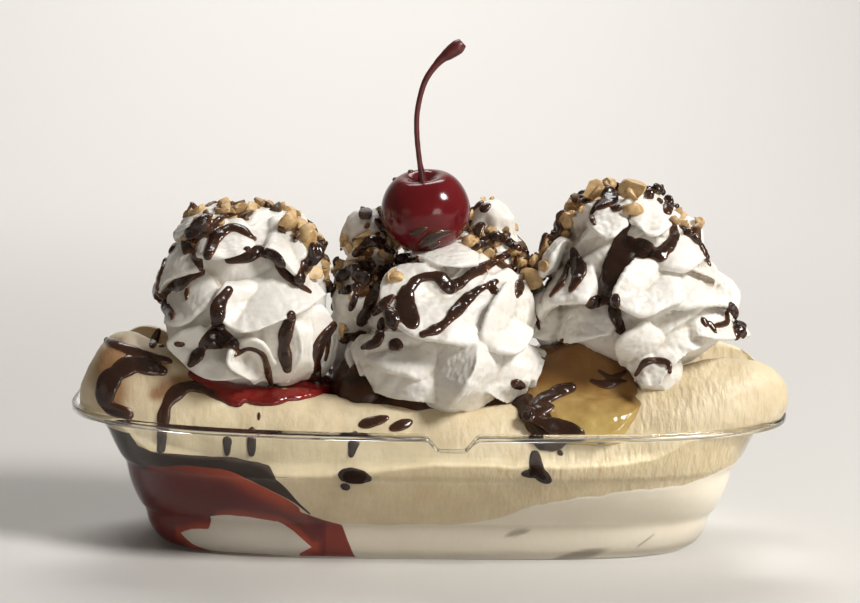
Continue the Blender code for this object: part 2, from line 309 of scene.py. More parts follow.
def mottledFinish(name, light, dark, patch, softness, bumps, roughness, roughSpread=0.08, **constants):
    made, tree, shader = startMaterial(name, roughness, **constants)
    tone = useGroup(tree, mottle, {"Light": (*light, 1), "Dark": (*dark, 1), "Patch Size mm": patch,
                                   "Edge Softness": softness})
    tree.links.new(tone.outputs["Color"], shader.inputs["Base Color"])
    spread = addNode(tree, "ShaderNodeMapRange", {"To Min": roughness - roughSpread, "To Max": roughness + roughSpread})
    tree.links.new(tone.outputs["Mask"], spread.inputs["Value"])
    tree.links.new(spread.outputs["Result"], shader.inputs["Roughness"])
    coarse, coarseDepth, fine, fineDepth = bumps
    bump = useGroup(tree, relief, {"Coarse Size mm": coarse, "Coarse Depth mm": coarseDepth, "Fine Size mm": fine,
                                   "Fine Depth mm": fineDepth})
    tree.links.new(bump.outputs["Normal"], shader.inputs["Normal"])
    return made, tree, shader, tone


# ---- stage and light

stage = {"floorColour": (0.60, 0.58, 0.55), "keyWatts": 9.4, "frontWatts": 2.1, "leftWatts": 0.22,
         "fillStrength": 0.04, "glintStrength": 0.18}


def setStage():
    bpy.ops.object.select_all(action="DESELECT")
    bpy.ops.mesh.primitive_plane_add(size=4)
    floor = bpy.context.object
    floor.name = "floor"
    material, tree, shader = startMaterial("paleFloor", 0.9)
    shader.inputs["Base Color"].default_value = (*stage["floorColour"], 1)
    floor.data.materials.append(material)
    bpy.ops.object.mode_set(mode="EDIT")
    bpy.ops.mesh.select_mode(type="EDGE")
    bpy.ops.mesh.select_all(action="DESELECT")
    shape = bmesh.from_edit_mesh(floor.data)
    for edge in shape.edges:
        edge.select = all(corner.co.y > 1.9 for corner in edge.verts)
    bmesh.update_edit_mesh(floor.data)
    bpy.ops.mesh.extrude_region_move(TRANSFORM_OT_translate={"value": (0, 0, 2.5)})
    bpy.ops.mesh.select_all(action="DESELECT")
    shape = bmesh.from_edit_mesh(floor.data)
    for edge in shape.edges:
        edge.select = all(corner.co.y > 1.9 and abs(corner.co.z) < 0.01 for corner in edge.verts)
    bmesh.update_edit_mesh(floor.data)
    bpy.ops.mesh.bevel(offset=1.0, segments=24)
    bpy.ops.object.mode_set(mode="OBJECT")
    floor.data.shade_smooth()


def addLight(name, place, aim, size, watts, tint):
    data = bpy.data.lights.new(name, "AREA")
    data.shape = "DISK"
    data.size = size
    data.energy = watts
    data.color = tint
    lamp = bpy.data.objects.new(name, data)
    bpy.context.scene.collection.objects.link(lamp)
    lamp.location = place
    lamp.rotation_euler = (Vector(aim) - Vector(place)).to_track_quat("-Z", "Y").to_euler()


def setLights():
    addLight("key", (0.57, -0.41, 0.70), (0, 0, 0.05), 0.28, stage["keyWatts"], (1.0, 0.985, 0.96))
    addLight("frontFill", (0.42, -0.92, 0.07), (0, 0, 0.03), 0.4, stage["frontWatts"], (1.0, 0.95, 0.88))
    addLight("leftFill", (-0.75, -0.55, 0.10), (-0.04, 0, 0.04), 0.4, stage["leftWatts"], (1.0, 0.80, 0.58))
    addLight("backdropLight", (0.0, 0.9, 1.6), (0, 2.0, 0.3), 1.2, 36.0, (1.0, 1.0, 1.0))
    world = bpy.data.worlds.new("studio")
    world.use_nodes = True
    bpy.context.scene.world = world
    background = world.node_tree.nodes["Background"]
    background.inputs["Color"].default_value = (1.0, 0.84, 0.68, 1)
    rays = addNode(world.node_tree, "ShaderNodeLightPath")
    strength = addNode(world.node_tree, "ShaderNodeMapRange", {"To Min": stage["glintStrength"],
                                                               "To Max": stage["fillStrength"]})
    world.node_tree.links.new(rays.outputs["Is Diffuse Ray"], strength.inputs["Value"])
    world.node_tree.links.new(strength.outputs["Result"], background.inputs["Strength"])
    bpy.context.scene.view_settings.view_transform = "Standard"


placeCamera()
setStage()
setLights()
print("stage ready")

# ---- dish

dish = {
    "wall": 0.8,
    "columns": 192,
    # half length, half width, height, squareness of the outside, from base to rim, in mm
    "outside": [
        (74.0, 24.0, 0.0, 3.4), (78.5, 26.3, 1.6, 3.4), (81.2, 27.5, 5.5, 3.4), (82.4, 28.1, 10.8, 3.4),
        (83.8, 29.7, 12.1, 3.4), (86.4, 34.5, 18.5, 3.3), (87.7, 38.4, 25.6, 3.2), (89.3, 40.0, 26.7, 3.1),
        (94.7, 43.4, 38.0, 2.9), (102.5, 46.2, 40.5, 2.75),
    ],
    "rimHeight": 41.3,
    "notchMiddle": 3.0,
    "notchTop": 15.0,
    "notchFloor": 6.0,
    "notchDepth": 4.0,
}


def rounded(stations, rounds=2):
    """"""
    for _ in range(rounds):
        cut = [stations[0]]
        for a, b in zip(stations, stations[1:]):
            a, b = np.array(a), np.array(b)
            cut += [a * 0.78 + b * 0.22, a * 0.22 + b * 0.78]
        cut.append(stations[-1])
        stations = cut
    return [tuple(float(v) for v in station) for station in stations]


outside = rounded(dish["outside"])
inside = [(a - dish["wall"], b - dish["wall"], z + dish["wall"], n) for a, b, z, n in outside]
insideHeights = [station[2] for station in inside]


def wallStation(height):
    return [float(np.interp(height, insideHeights, [station[k] for station in inside])) for k in (0, 1, 3)]


def onPlan(a, b, n, angle):
    c, s = math.cos(angle), math.sin(angle)
    return (a * math.copysign(abs(c) ** (2 / n), c), b * math.copysign(abs(s) ** (2 / n), s))


def pressToWall(piece, reach, near=0.0, top=40.0):
    """"""
    places = corners(piece.data) / mm
    for i, (x, y, z) in enumerate(places):
        if z > insideHeights[-1]:
            continue
        a, b, n = wallStation(max(z, inside[0][2]))
        a, b = a + reach, b + reach
        size = (abs(x / a) ** n + abs(y / b) ** n) ** (1 / n)
        gap = (1 - size) * b
        pull = near * max(0.0, min(1.0, (top - z) / 8)) if near else 0.0
        if gap < 0:
            closed = 0.0
        elif gap < pull:
            share = max(0.0, 2 * gap / pull - 1)
            closed = gap * share * share * (3 - 2 * share)
        else:
            closed = gap
        grown = (1 - closed / b) / size
        places[i] = (x * grown, y * grown, max(z, inside[0][2] - reach))
    setCorners(piece.data, places * mm)


def evenAngles(count):
    """"""
    fine = np.linspace(0, 2 * math.pi, 4000)
    spots = np.array([onPlan(90, 36, 3.1, t) for t in fine])
    run = np.concatenate([[0], np.cumsum(np.linalg.norm(np.diff(spots, axis=0), axis=1))])
    return np.interp(np.linspace(0, run[-1], count, endpoint=False), run, fine)


def notchShare(x, y):
    if abs(y) < 20:
        return 0.0
    slope = (dish["notchTop"] - dish["notchFloor"]) / 2
    share = (dish["notchTop"] / 2 - abs(x - dish["notchMiddle"])) / slope
    share = max(0.0, min(1.0, share))
    return share * share * (3 - 2 * share)


def makeDish(material):
    angles = evenAngles(dish["columns"])
    extra = [math.acos((abs(x) / 102.5) ** 1.375 * math.copysign(1, x)) for x in np.arange(-5.5, 12, 0.75)]
    angles = np.array(sorted([*angles, *extra, *(2 * math.pi - t for t in extra)]))
    lip = [(101.6, 45.6, 40.2, 2.75), (102.2, 46.0, 39.3, 2.75), (102.6, 46.3, 39.2, 2.75), (102.8, 46.5, 39.5, 2.75),
           (102.8, 46.5, 40.9, 2.75), (102.5, 46.2, 41.25, 2.75), (102.0, 45.7, 41.3, 2.75)]
    stations = outside[:-1] + lip + inside[:-1][::-1]
    rings = []
    for a, b, z, n in stations:
        ring = []
        for angle in angles:
            x, y = onPlan(a, b, n, angle)
            high = max(0.0, min(1.0, (z - 36.5) / 3.5))
            ring.append(Vector((x, y, z - dish["notchDepth"] * notchShare(x, y) * high)) * mm)
        rings.append(ring)
    piece = newPiece("clear_dish", loftMesh("clear_dish", rings), material)
    piece.data.set_sharp_from_angle(angle=math.radians(60))
    piece.visible_shadow = False
    return piece


clearPlastic, tree, shader = startMaterial(
    "clearPlastic", 0.05, Transmission_Weight=1.0, IOR=1.46, Base_Color=(0.95, 0.955, 0.95, 1), Coat_Weight=0.0)
haze = useGroup(tree, mottle, {"Light": (0.97, 0.975, 0.97, 1), "Dark": (0.90, 0.91, 0.90, 1), "Patch Size mm": 14.0,
                               "Edge Softness": 0.3})
tree.links.new(haze.outputs["Color"], shader.inputs["Base Color"])
cloud = addNode(tree, "ShaderNodeMapRange", {"To Min": 0.03, "To Max": 0.10})
tree.links.new(haze.outputs["Mask"], cloud.inputs["Value"])
tree.links.new(cloud.outputs["Result"], shader.inputs["Roughness"])
ripple = useGroup(tree, relief, {"Coarse Size mm": 11.0, "Coarse Depth mm": 0.12, "Fine Size mm": 3.0,
                                 "Fine Depth mm": 0.006})
tree.links.new(ripple.outputs["Normal"], shader.inputs["Normal"])

clearDish = makeDish(clearPlastic)
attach(clearDish, "root")
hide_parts("dish")
print("dish made")

# ---- banana

banana = {
    "halfLength": 97.5,
    "radius": 17.0,
    "sag": 28.2,
    "endRise": 18.0,
    "risePower": 3.4,
    "riseReach": 90.0,
    "steepest": 0.45,
    "bluntLeft": 26,
    "bluntRight": 5.5,
    "rightLength": 100.3,
    "rightRise": (40, 95, 18.0),
    "faceMiddle": 22.5,
    "faceLeft": 10.0,
    "faceRight": 18.5,
    "backShift": Vector((2.4, 0, -2.0)),
    "reach": 0.35,
}


def bananaRing(x, along, side, shift):
    share = abs(x) / banana["riseReach"]
    height = banana["sag"] + banana["endRise"] * share ** banana["risePower"]
    slope = banana["endRise"] * banana["risePower"] / banana["riseReach"] * share ** (banana["risePower"] - 1)
    if x > 0:
        begin, end, rise = banana["rightRise"]
        t = max(0.0, min(1.0, (x - begin) / (end - begin)))
        height = banana["sag"] + 0.6 * share + rise * t * t * (3 - 2 * t)
        slope = rise / (end - begin) * 6 * t * (1 - t)
    slope = math.copysign(min(banana["steepest"], slope), x)
    end = banana["faceLeft"] if x < 0 else banana["faceRight"]
    face = banana["faceMiddle"] + (end - banana["faceMiddle"]) * share
    blunt = banana["bluntLeft"] if x < 0 else banana["bluntRight"]
    radius = banana["radius"] * math.sqrt(1 - abs(along) ** blunt)
    up = Vector((-slope, 0, 1)).normalized()
    centre = Vector((x, side * face, height)) + shift
    ring = []
    for j in range(81):
        turn = math.pi * j / 80
        out = math.sin(turn) ** 0.9 if 0 < j < 80 else 0.0
        ring.append((centre + up * radius * math.cos(turn) + Vector((0, side * radius * out, 0))) * mm)
    for j in range(1, 14):
        ring.append((centre + up * radius * (-1 + 2 * j / 14)) * mm)
    return ring


def makeBanana(name, side, shift, material):
    rings = []
    widest = math.radians(84)
    for i in range(220):
        turn = widest * (2 * i / 219 - 1)
        along = 0.992 * math.sin(turn) / math.sin(widest)
        length = banana["rightLength"] if along > 0 else banana["halfLength"]
        rings.append(bananaRing(length * along, along, side, shift))
    piece = newPiece(name, loftMesh(name, rings), material)
    roughen(piece, [(14, 1.1), (5, 0.35), (1.6, 0.10)])
    pressToWall(piece, banana["reach"], 6.0, 36.0)
    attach(piece, "root")
    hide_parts(name.replace("Half", ""))
    return piece


bananaFlesh, tree, shader, tone = mottledFinish(
    "bananaFlesh", (0.77, 0.66, 0.46), (0.66, 0.54, 0.34), 8.0, 0.24, (2.6, 0.16, 0.5, 0.03), 0.48, 0.06,
    Subsurface_Weight=0.25, Subsurface_Scale=0.003, Subsurface_Radius=(1.0, 0.7, 0.35))
place = addNode(tree, "ShaderNodeTexCoord")
stretch = addNode(tree, "ShaderNodeMapping", {"Scale": (620, 300, 190), "Rotation": (0, math.radians(-24), 0)})
streak = addNode(tree, "ShaderNodeTexNoise", {"Scale": 1.0, "Detail": 2.0})
fibres = addNode(tree, "ShaderNodeBump", {"Distance": 0.0007})
axes = addNode(tree, "ShaderNodeSeparateXYZ")
ribbed = addNode(tree, "ShaderNodeMapRange", {"From Min": 0.0, "From Max": 0.05, "To Min": 0.3})
tree.links.new(place.outputs["Object"], axes.inputs["Vector"])
tree.links.new(axes.outputs["X"], ribbed.inputs["Value"])
tree.links.new(ribbed.outputs["Result"], fibres.inputs["Strength"])
tree.links.new(streak.outputs["Fac"], fibres.inputs["Height"])
tree.links.new(shader.inputs["Normal"].links[0].from_socket, fibres.inputs["Normal"])
tree.links.new(fibres.outputs["Normal"], shader.inputs["Normal"])
band = addNode(tree, "ShaderNodeMapRange", {"From Min": 0.40, "From Max": 0.28, "To Max": 0.22})
darker = addNode(tree, "ShaderNodeMix", {7: (0.58, 0.44, 0.24, 1)}, data_type="RGBA")
tree.links.new(place.outputs["Object"], stretch.inputs["Vector"])
tree.links.new(stretch.outputs["Vector"], streak.inputs["Vector"])
tree.links.new(streak.outputs["Fac"], band.inputs["Value"])
tree.links.new(band.outputs["Result"], darker.inputs[0])
tree.links.new(tone.outputs["Color"], darker.inputs[6])
# painted shade: the banana is multiplied darker (0.86) in a band about 24 to 41 mm high, low down behind the dish wall
low = addNode(tree, "ShaderNodeMapRange", {"From Min": 0.041, "From Max": 0.036})
foot = addNode(tree, "ShaderNodeMapRange", {"From Min": 0.024, "From Max": 0.029})
belt = addNode(tree, "ShaderNodeMath", operation="MULTIPLY")
paintedShadeTint = addNode(tree, "ShaderNodeMix", {7: (0.86, 0.86, 0.84, 1), 6: (1, 1, 1, 1)}, data_type="RGBA")
paintedBandShade = addNode(tree, "ShaderNodeMix", {0: 1.0}, data_type="RGBA", blend_type="MULTIPLY")
tree.links.new(axes.outputs["Z"], low.inputs["Value"])
tree.links.new(axes.outputs["Z"], foot.inputs["Value"])
tree.links.new(low.outputs["Result"], belt.inputs[0])
tree.links.new(foot.outputs["Result"], belt.inputs[1])
tree.links.new(belt.outputs[0], paintedShadeTint.inputs[0])
tree.links.new(darker.outputs[2], paintedBandShade.inputs[6])
tree.links.new(paintedShadeTint.outputs[2], paintedBandShade.inputs[7])
tree.links.new(paintedBandShade.outputs[2], shader.inputs["Base Color"])
stain = addNode(tree, "ShaderNodeAttribute", attribute_name="stain")
soaked = addNode(tree, "ShaderNodeMix", {7: (0.27, 0.125, 0.045, 1)}, data_type="RGBA")
tree.links.new(stain.outputs["Fac"], soaked.inputs[0])
tree.links.new(paintedBandShade.outputs[2], soaked.inputs[6])
tree.links.new(soaked.outputs[2], shader.inputs["Base Color"])

bananaFront = makeBanana("banana_frontHalf", -1, Vector((0, 0, 0)), bananaFlesh)
bananaBack = makeBanana("banana_backHalf", 1, banana["backShift"], bananaFlesh)
print("bananas made")

# ---- ice cream and sauces that lie against the wall

fillings = {
    "iceReach": 0.44,
    "berryReach": 0.52,
    "runReach": 0.58,
    "windowReach": 0.62,
    # along x: how high the ice cream reaches on the wall, and the edges of the fudge, strawberry and gap in it
    "iceTop": [(-97, 14), (-60, 14), (-40, 12.5), (-10, 12), (12, 13.5), (30, 20), (45, 23), (68, 25), (77, 27.5),
               (86, 30), (97, 31)],
    "runTop": [(-97, 39), (-88, 38.5), (-83, 33.5), (-71, 31.5), (-57, 31.5), (-48, 30), (-42, 25), (-34, 15)],
    "runLow": [(-97, 25), (-88, 25), (-77, 27), (-63, 28.5), (-56, 28), (-50, 25), (-40, 19.5), (-34, 14.4)],
    "berryTop": [(-36, 16.0), (-30, 13.3), (-25, 11.5), (-23, 6), (-21.2, 1.2)],
    "gapTop": [(-70, 6.2), (-66, 8.2), (-61, 8.6), (-60, 13), (-54, 14), (-42, 12.3), (-38, 9), (-33.6, 4.4)],
    "gapLow": [(-70, 5.4), (-68, 2.4), (-65, 0.9), (-40, 0.8), (-33.6, 3.6)],
    # grey smears in the ice cream at the wall: x, height, half length, half height, slope
    "smears": [(23.5, 9.0, 3.2, 0.9, 0.25), (41.5, 1.9, 7.0, 1.5, 0.22), (60, 5.5, 2.5, 0.35, 0.8)],
}


for line in ("iceTop", "runTop", "runLow"):
    fillings[line] = [(x, z) for x, z, _ in curveThrough([(x, z, 0) for x, z in fillings[line]], 1.0)]


def along(line, x):
    return float(np.interp(x, *zip(*fillings[line])))


def wallSkin(name, reach, spans, material, depth=5.0, rows=26, rounding=0.5):
    """"""
    rings = []
    for angle, low, high in spans:
        ring = []
        for row in range(rows + 1):
            z = low + (high - low) * row / rows
            edge = min(row, rows - row) / rows * (high - low)
            back = rounding * max(0.0, 1 - edge / 0.7) ** 2
            a, b, n = wallStation(z)
            ring.append(Vector((*onPlan(a + reach - back, b + reach - back, n, angle), z)) * mm)
        for row in (0.85, 0.5, 0.15):
            z = low + (high - low) * row
            a, b, n = wallStation(z)
            ring.append(Vector((*onPlan(a - depth, b - depth, n, angle), z)) * mm)
        rings.append(ring)
    return newPiece(name, loftMesh(name, rings), material)


def spansOver(fromX, toX, low, high, count=90, front=True):
    """"""
    spans = []
    for x in np.linspace(fromX, toX, count):
        z = (low(x) + high(x)) / 2
        a, b, n = wallStation(z)
        c = max(-0.9999, min(0.9999, x / a))
        angle = math.acos(math.copysign(abs(c) ** (n / 2), c))
        spans.append((-angle if front else angle, low(x), high(x)))
    return spans


def wave(x, seed, size, height):
    return height * noise.noise(Vector((x / size, seed, 0.3)))


def makeIceCream(material):
    angles = evenAngles(420)
    rings = [[] for _ in range(33)]
    for angle in angles:
        x, y = onPlan(88, 38, 3.2, angle)
        high = along("iceTop", x) + wave(x, 11, 7, 0.9) + wave(x, 13, 2.5, 0.4)
        for row in range(29):
            share = row / 28
            z = 0.40 + share * (high - 0.40)
            a, b, n = wallStation(max(z, inside[0][2]))
            out = fillings["iceReach"] - 0.35 * max(0.0, 1 - (high - z) / 0.8) ** 2
            rings[row].append(Vector((*onPlan(a + out, b + out, n, angle), z)))
        a, b, n = wallStation(high)
        level = float(np.interp(x, [-90, -60, -40, -22, 0, 64, 84, 97], [20, 20, 34, 40, 41.5, 42, 38, 34]))
        for row, (inX, inY, z) in enumerate(((3, 5, high + 0.3), (9, 18, level), (30, 26, level + 1), (80, 37, level + 1))):
            rings[29 + row].append(Vector((*onPlan(a - inX, b - min(inY, b - 0.5), n, angle), max(z, high))))
    for inward in (0.7, 0.35):
        rings.insert(0, [Vector((p.x * inward, p.y * inward, p.z)) for p in rings[0 if inward == 0.7 else 1]])
    rings = [[p * mm for p in ring] for ring in rings]
    body = newPiece("vanilla_filling", loftMesh("vanilla_filling", rings), material)
    gapLow = lambda x: along("gapLow", x) + wave(x, 2, 5, 0.2)
    gapTop = lambda x: along("gapTop", x) + wave(x, 4, 4, 0.4)
    gap = wallSkin("gap", fillings["windowReach"], spansOver(-70, -33.6, gapLow, gapTop, 120), material, 4.0)
    made = joinPieces([body, gap])
    places = corners(made.data) / mm
    smear = np.zeros(len(places))
    for x, z, long, tall, slope in fillings["smears"]:
        away = ((places[:, 0] - x) / long) ** 2 + ((places[:, 2] - z - slope * (places[:, 0] - x)) / tall) ** 2
        smear = np.maximum(smear, np.clip(1.6 - away, 0, 1) * (places[:, 1] < 0))
    mark = made.data.attributes.new("smear", "FLOAT", "POINT")
    mark.data.foreach_set("value", smear)
    return made


def aroundLeft(end, low, high, turn=-80, count=150):
    front = spansOver(end, turn, low, high, count)
    back = spansOver(turn, end, low, high, count, front=False)
    middle = np.linspace(2 * math.pi + front[-1][0], back[0][0], 40)[1:-1]
    ends = [(angle, low(turn - 6), high(turn - 6)) for angle in middle]
    return [(2 * math.pi + angle, a, b) for angle, a, b in front] + ends + back


def makeBerryLayer(material):
    low = lambda x: 0.6
    high = lambda x: along("runLow", x) + 1.1 if x < -36 else along("berryTop", x)
    wall = wallSkin("berry_wall", fillings["berryReach"], aroundLeft(-21.2, low, high), material, 6.0, 44)
    # the sauce is thin and bright just under the fudge and round the gap, dark and deep elsewhere
    thin = []
    for x, y, z in corners(wall.data) / mm:
        share = math.exp(-((max(0.0, high(x) - z - 1.5) / (2.0 + 0.05 * (x + 80))) ** 2)) if -79 < x < -33 else 0.0
        share *= min(1.0, max(0.12, (x + 76) / 24)) * min(1.0, max(0.0, (-33 - x) / 8))
        if -72 < x < -30 and y < 0:
            edge = max(along("gapLow", x) - z, z - along("gapTop", x), -71 - x, x + 33)
            share = max(share, 0.55 * math.exp(-((max(0.0, edge) / 1.6) ** 2)))
        elif x > -33:
            share = max(share, 0.25)
        thin.append(share)
    mark = wall.data.attributes.new("thin", "FLOAT", "POINT")
    mark.data.foreach_set("value", thin)
    return wall


def makeRun(material):
    low = lambda x: along("runLow", x) + wave(x, 6, 7, 0.4)
    high = lambda x: along("runTop", x) + wave(x, 8, 5, 0.7)
    return wallSkin("fudge_runSauce", fillings["runReach"], aroundLeft(-34.2, low, high), material, 4.0, 22)


# ---- heaps of topping

heaps = {
    # middle, radii, squareness
    "strawberry": ((-55.5, 2, 24.0), (35.0, 22.5, 28.0), 3.6),
    "fudge": ((-0.5, -2, 40.0), (33.0, 27.0, 12.0), 2.6),
    "fudgeLobe": ((30.5, -24.5, 41.5), (8.5, 15, 10), 2.2),
    "fudgeGap": ((-20.0, -12, 46.0), (9.0, 13, 9.5), 2.2),
    "pineapple": ((41.0, -12, 46.0), (18.0, 31.0, 15.0), 2.05),
    "drapeOver": (-22.5, 28.2, 20.2),
}


def drape(piece):
    middleY, middleZ, radius = heaps["drapeOver"]
    places = corners(piece.data) / mm
    for i, (x, y, z) in enumerate(places):
        out = math.hypot(y - middleY, z - middleZ)
        if y < middleY + 6 and out > radius:
            blend = min(1.0, (middleY + 6 - y) / 12)
            cap = radius + 0.07 * (out - radius) + 0.4 * noise.noise(Vector((x, y, z)) / 4.4)
            near = (out + (cap - out) * blend) / out
            places[i] = (x, middleY + (y - middleY) * near, middleZ + (z - middleZ) * near)
    setCorners(piece.data, places * mm)


def makeHeap(name, middle, radii, squareness, waves, material, columns=120, rows=60):
    rings = []
    for i in range(1, rows):
        tilt = math.pi * i / rows - math.pi / 2
        ring = []
        for j in range(columns):
            turn = 2 * math.pi * j / columns
            way = np.array([math.cos(turn) * math.cos(tilt), math.sin(turn) * math.cos(tilt), math.sin(tilt)])
            size = (np.abs(way) ** squareness).sum() ** (-1 / squareness)
            ring.append(Vector((np.array(middle) + way * size * np.array(radii)) * mm))
        rings.append(ring)
    piece = newPiece(name, loftMesh(name, rings), material)
    roughen(piece, waves)
    return piece


def useMark(tree, shader, name, colours, source=None):
    mark = addNode(tree, "ShaderNodeAttribute", attribute_name=name)
    base = source or shader.inputs["Base Color"].links[0].from_socket
    other = addNode(tree, "ShaderNodeMix", {7: (*colours, 1)}, data_type="RGBA")
    tree.links.new(mark.outputs["Fac"], other.inputs[0])
    tree.links.new(base, other.inputs[6])
    tree.links.new(other.outputs[2], shader.inputs["Base Color"])


vanilla, tree, shader, tone = mottledFinish(
    "vanilla", (0.86, 0.80, 0.69), (0.79, 0.73, 0.61), 12.0, 0.3, (3.0, 0.10, 0.6, 0.02), 0.55, 0.06,
    Specular_IOR_Level=0.15, Subsurface_Weight=0.3, Subsurface_Scale=0.003, Subsurface_Radius=(1.0, 0.85, 0.6))
useMark(tree, shader, "smear", (0.42, 0.37, 0.29))
# painted shade: the ice cream is multiplied darker (0.82) below about 11 mm, towards the bottom of the dish
place = addNode(tree, "ShaderNodeTexCoord")
axes = addNode(tree, "ShaderNodeSeparateXYZ")
foot = addNode(tree, "ShaderNodeMapRange", {"From Min": 0.0122, "From Max": 0.0108})
shade = addNode(tree, "ShaderNodeMix", {6: (1, 1, 1, 1), 7: (0.82, 0.81, 0.80, 1)}, data_type="RGBA")
times = addNode(tree, "ShaderNodeMix", {0: 1.0}, data_type="RGBA", blend_type="MULTIPLY")
tree.links.new(place.outputs["Object"], axes.inputs["Vector"])
tree.links.new(axes.outputs["Z"], foot.inputs["Value"])
tree.links.new(foot.outputs["Result"], shade.inputs[0])
tree.links.new(shader.inputs["Base Color"].links[0].from_socket, times.inputs[6])
tree.links.new(shade.outputs[2], times.inputs[7])
tree.links.new(times.outputs[2], shader.inputs["Base Color"])
strawberrySauce = mottledFinish(
    "strawberrySauce", (0.22, 0.014, 0.010), (0.09, 0.006, 0.006), 9.0, 0.14, (4.0, 0.25, 0.9, 0.03), 0.14, 0.05)[0]
strawberryAtWall, tree, shader, tone = mottledFinish(
    "strawberryAtWall", (0.150, 0.016, 0.014), (0.092, 0.010, 0.010), 16.0, 0.2, (4.0, 0.05, 0.9, 0.01), 0.7, 0.05,
    Specular_IOR_Level=0.03)
useMark(tree, shader, "thin", (0.46, 0.075, 0.032))
fudgeSauce = mottledFinish(
    "fudgeSauce", (0.070, 0.028, 0.012), (0.018, 0.008, 0.005), 5.0, 0.2, (3.0, 0.05, 0.8, 0.02), 0.34, 0.06,
    Specular_IOR_Level=0.25)[0]
fudgeAtWall = mottledFinish(
    "fudgeAtWall", (0.040, 0.024, 0.016), (0.022, 0.013, 0.009), 9.0, 0.2, (3.0, 0.05, 0.8, 0.01), 0.7, 0.05,
    Specular_IOR_Level=0.03)[0]
pineappleSauce, tree, shader, tone = mottledFinish(
    "pineappleSauce", (0.56, 0.42, 0.15), (0.42, 0.29, 0.09), 5.5, 0.2, (4.2, 0.40, 1.4, 0.03), 0.10, 0.04,
    Subsurface_Weight=0.35, Subsurface_Scale=0.004, Subsurface_Radius=(1.0, 0.7, 0.25))
place = addNode(tree, "ShaderNodeTexCoord")
axes = addNode(tree, "ShaderNodeSeparateXYZ")
drift = addNode(tree, "ShaderNodeTexNoise", {"Scale": 120.0, "Detail": 2.0})
lift = addNode(tree, "ShaderNodeMath", {1: 0.016}, operation="MULTIPLY")
level = addNode(tree, "ShaderNodeMath", operation="ADD")
upper = addNode(tree, "ShaderNodeMapRange", {"From Min": 0.0490, "From Max": 0.0600})
stained = addNode(tree, "ShaderNodeMix", {7: (0.250, 0.120, 0.035, 1)}, data_type="RGBA")
tree.links.new(place.outputs["Object"], axes.inputs["Vector"])
tree.links.new(place.outputs["Object"], drift.inputs["Vector"])
tree.links.new(drift.outputs["Fac"], lift.inputs[0])
tree.links.new(lift.outputs[0], level.inputs[0])
tree.links.new(axes.outputs["Z"], level.inputs[1])
tree.links.new(level.outputs[0], upper.inputs["Value"])
tree.links.new(upper.outputs["Result"], stained.inputs[0])
tree.links.new(tone.outputs["Color"], stained.inputs[6])
tree.links.new(stained.outputs[2], shader.inputs["Base Color"])

iceCream = makeIceCream(vanilla)
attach(iceCream, "root")
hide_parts("ice_cream")

berryHeap = makeHeap("berry_heap", *heaps["strawberry"], [(9, 1.6), (3.5, 0.5)], strawberrySauce)
pressToWall(berryHeap, 0.2)
berry = joinPieces([makeBerryLayer(strawberryAtWall), berryHeap])
berry.name = "strawberry_sauce"
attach(berry, "root")
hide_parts("strawberry_topping")

run = makeRun(fudgeAtWall)
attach(run, "root")
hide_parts("fudge_run")

fudgeLobe = makeHeap("fudge_lobe", *heaps["fudgeLobe"], [(6, 2.2), (2.5, 0.6)], fudgeSauce, 110, 60)
drape(fudgeLobe)
fudgeGap = makeHeap("fudge_gap", *heaps["fudgeGap"], [(6, 1.5), (2.5, 0.5)], fudgeSauce, 90, 50)
fudge = joinPieces([fudgeGap, makeHeap("fudge_heap", *heaps["fudge"], [(8, 1.5), (3, 0.5)], fudgeSauce), fudgeLobe])
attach(fudge, "root")
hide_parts("fudge_topping")

pineapple = makeHeap("pineapple_sauce", *heaps["pineapple"], [(9, 1.6), (4.0, 0.5)], pineappleSauce, 200, 100)
drape(pineapple)
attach(pineapple, "root")
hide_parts("pineapple_topping")
print("fillings made")

# ---- whipped cream

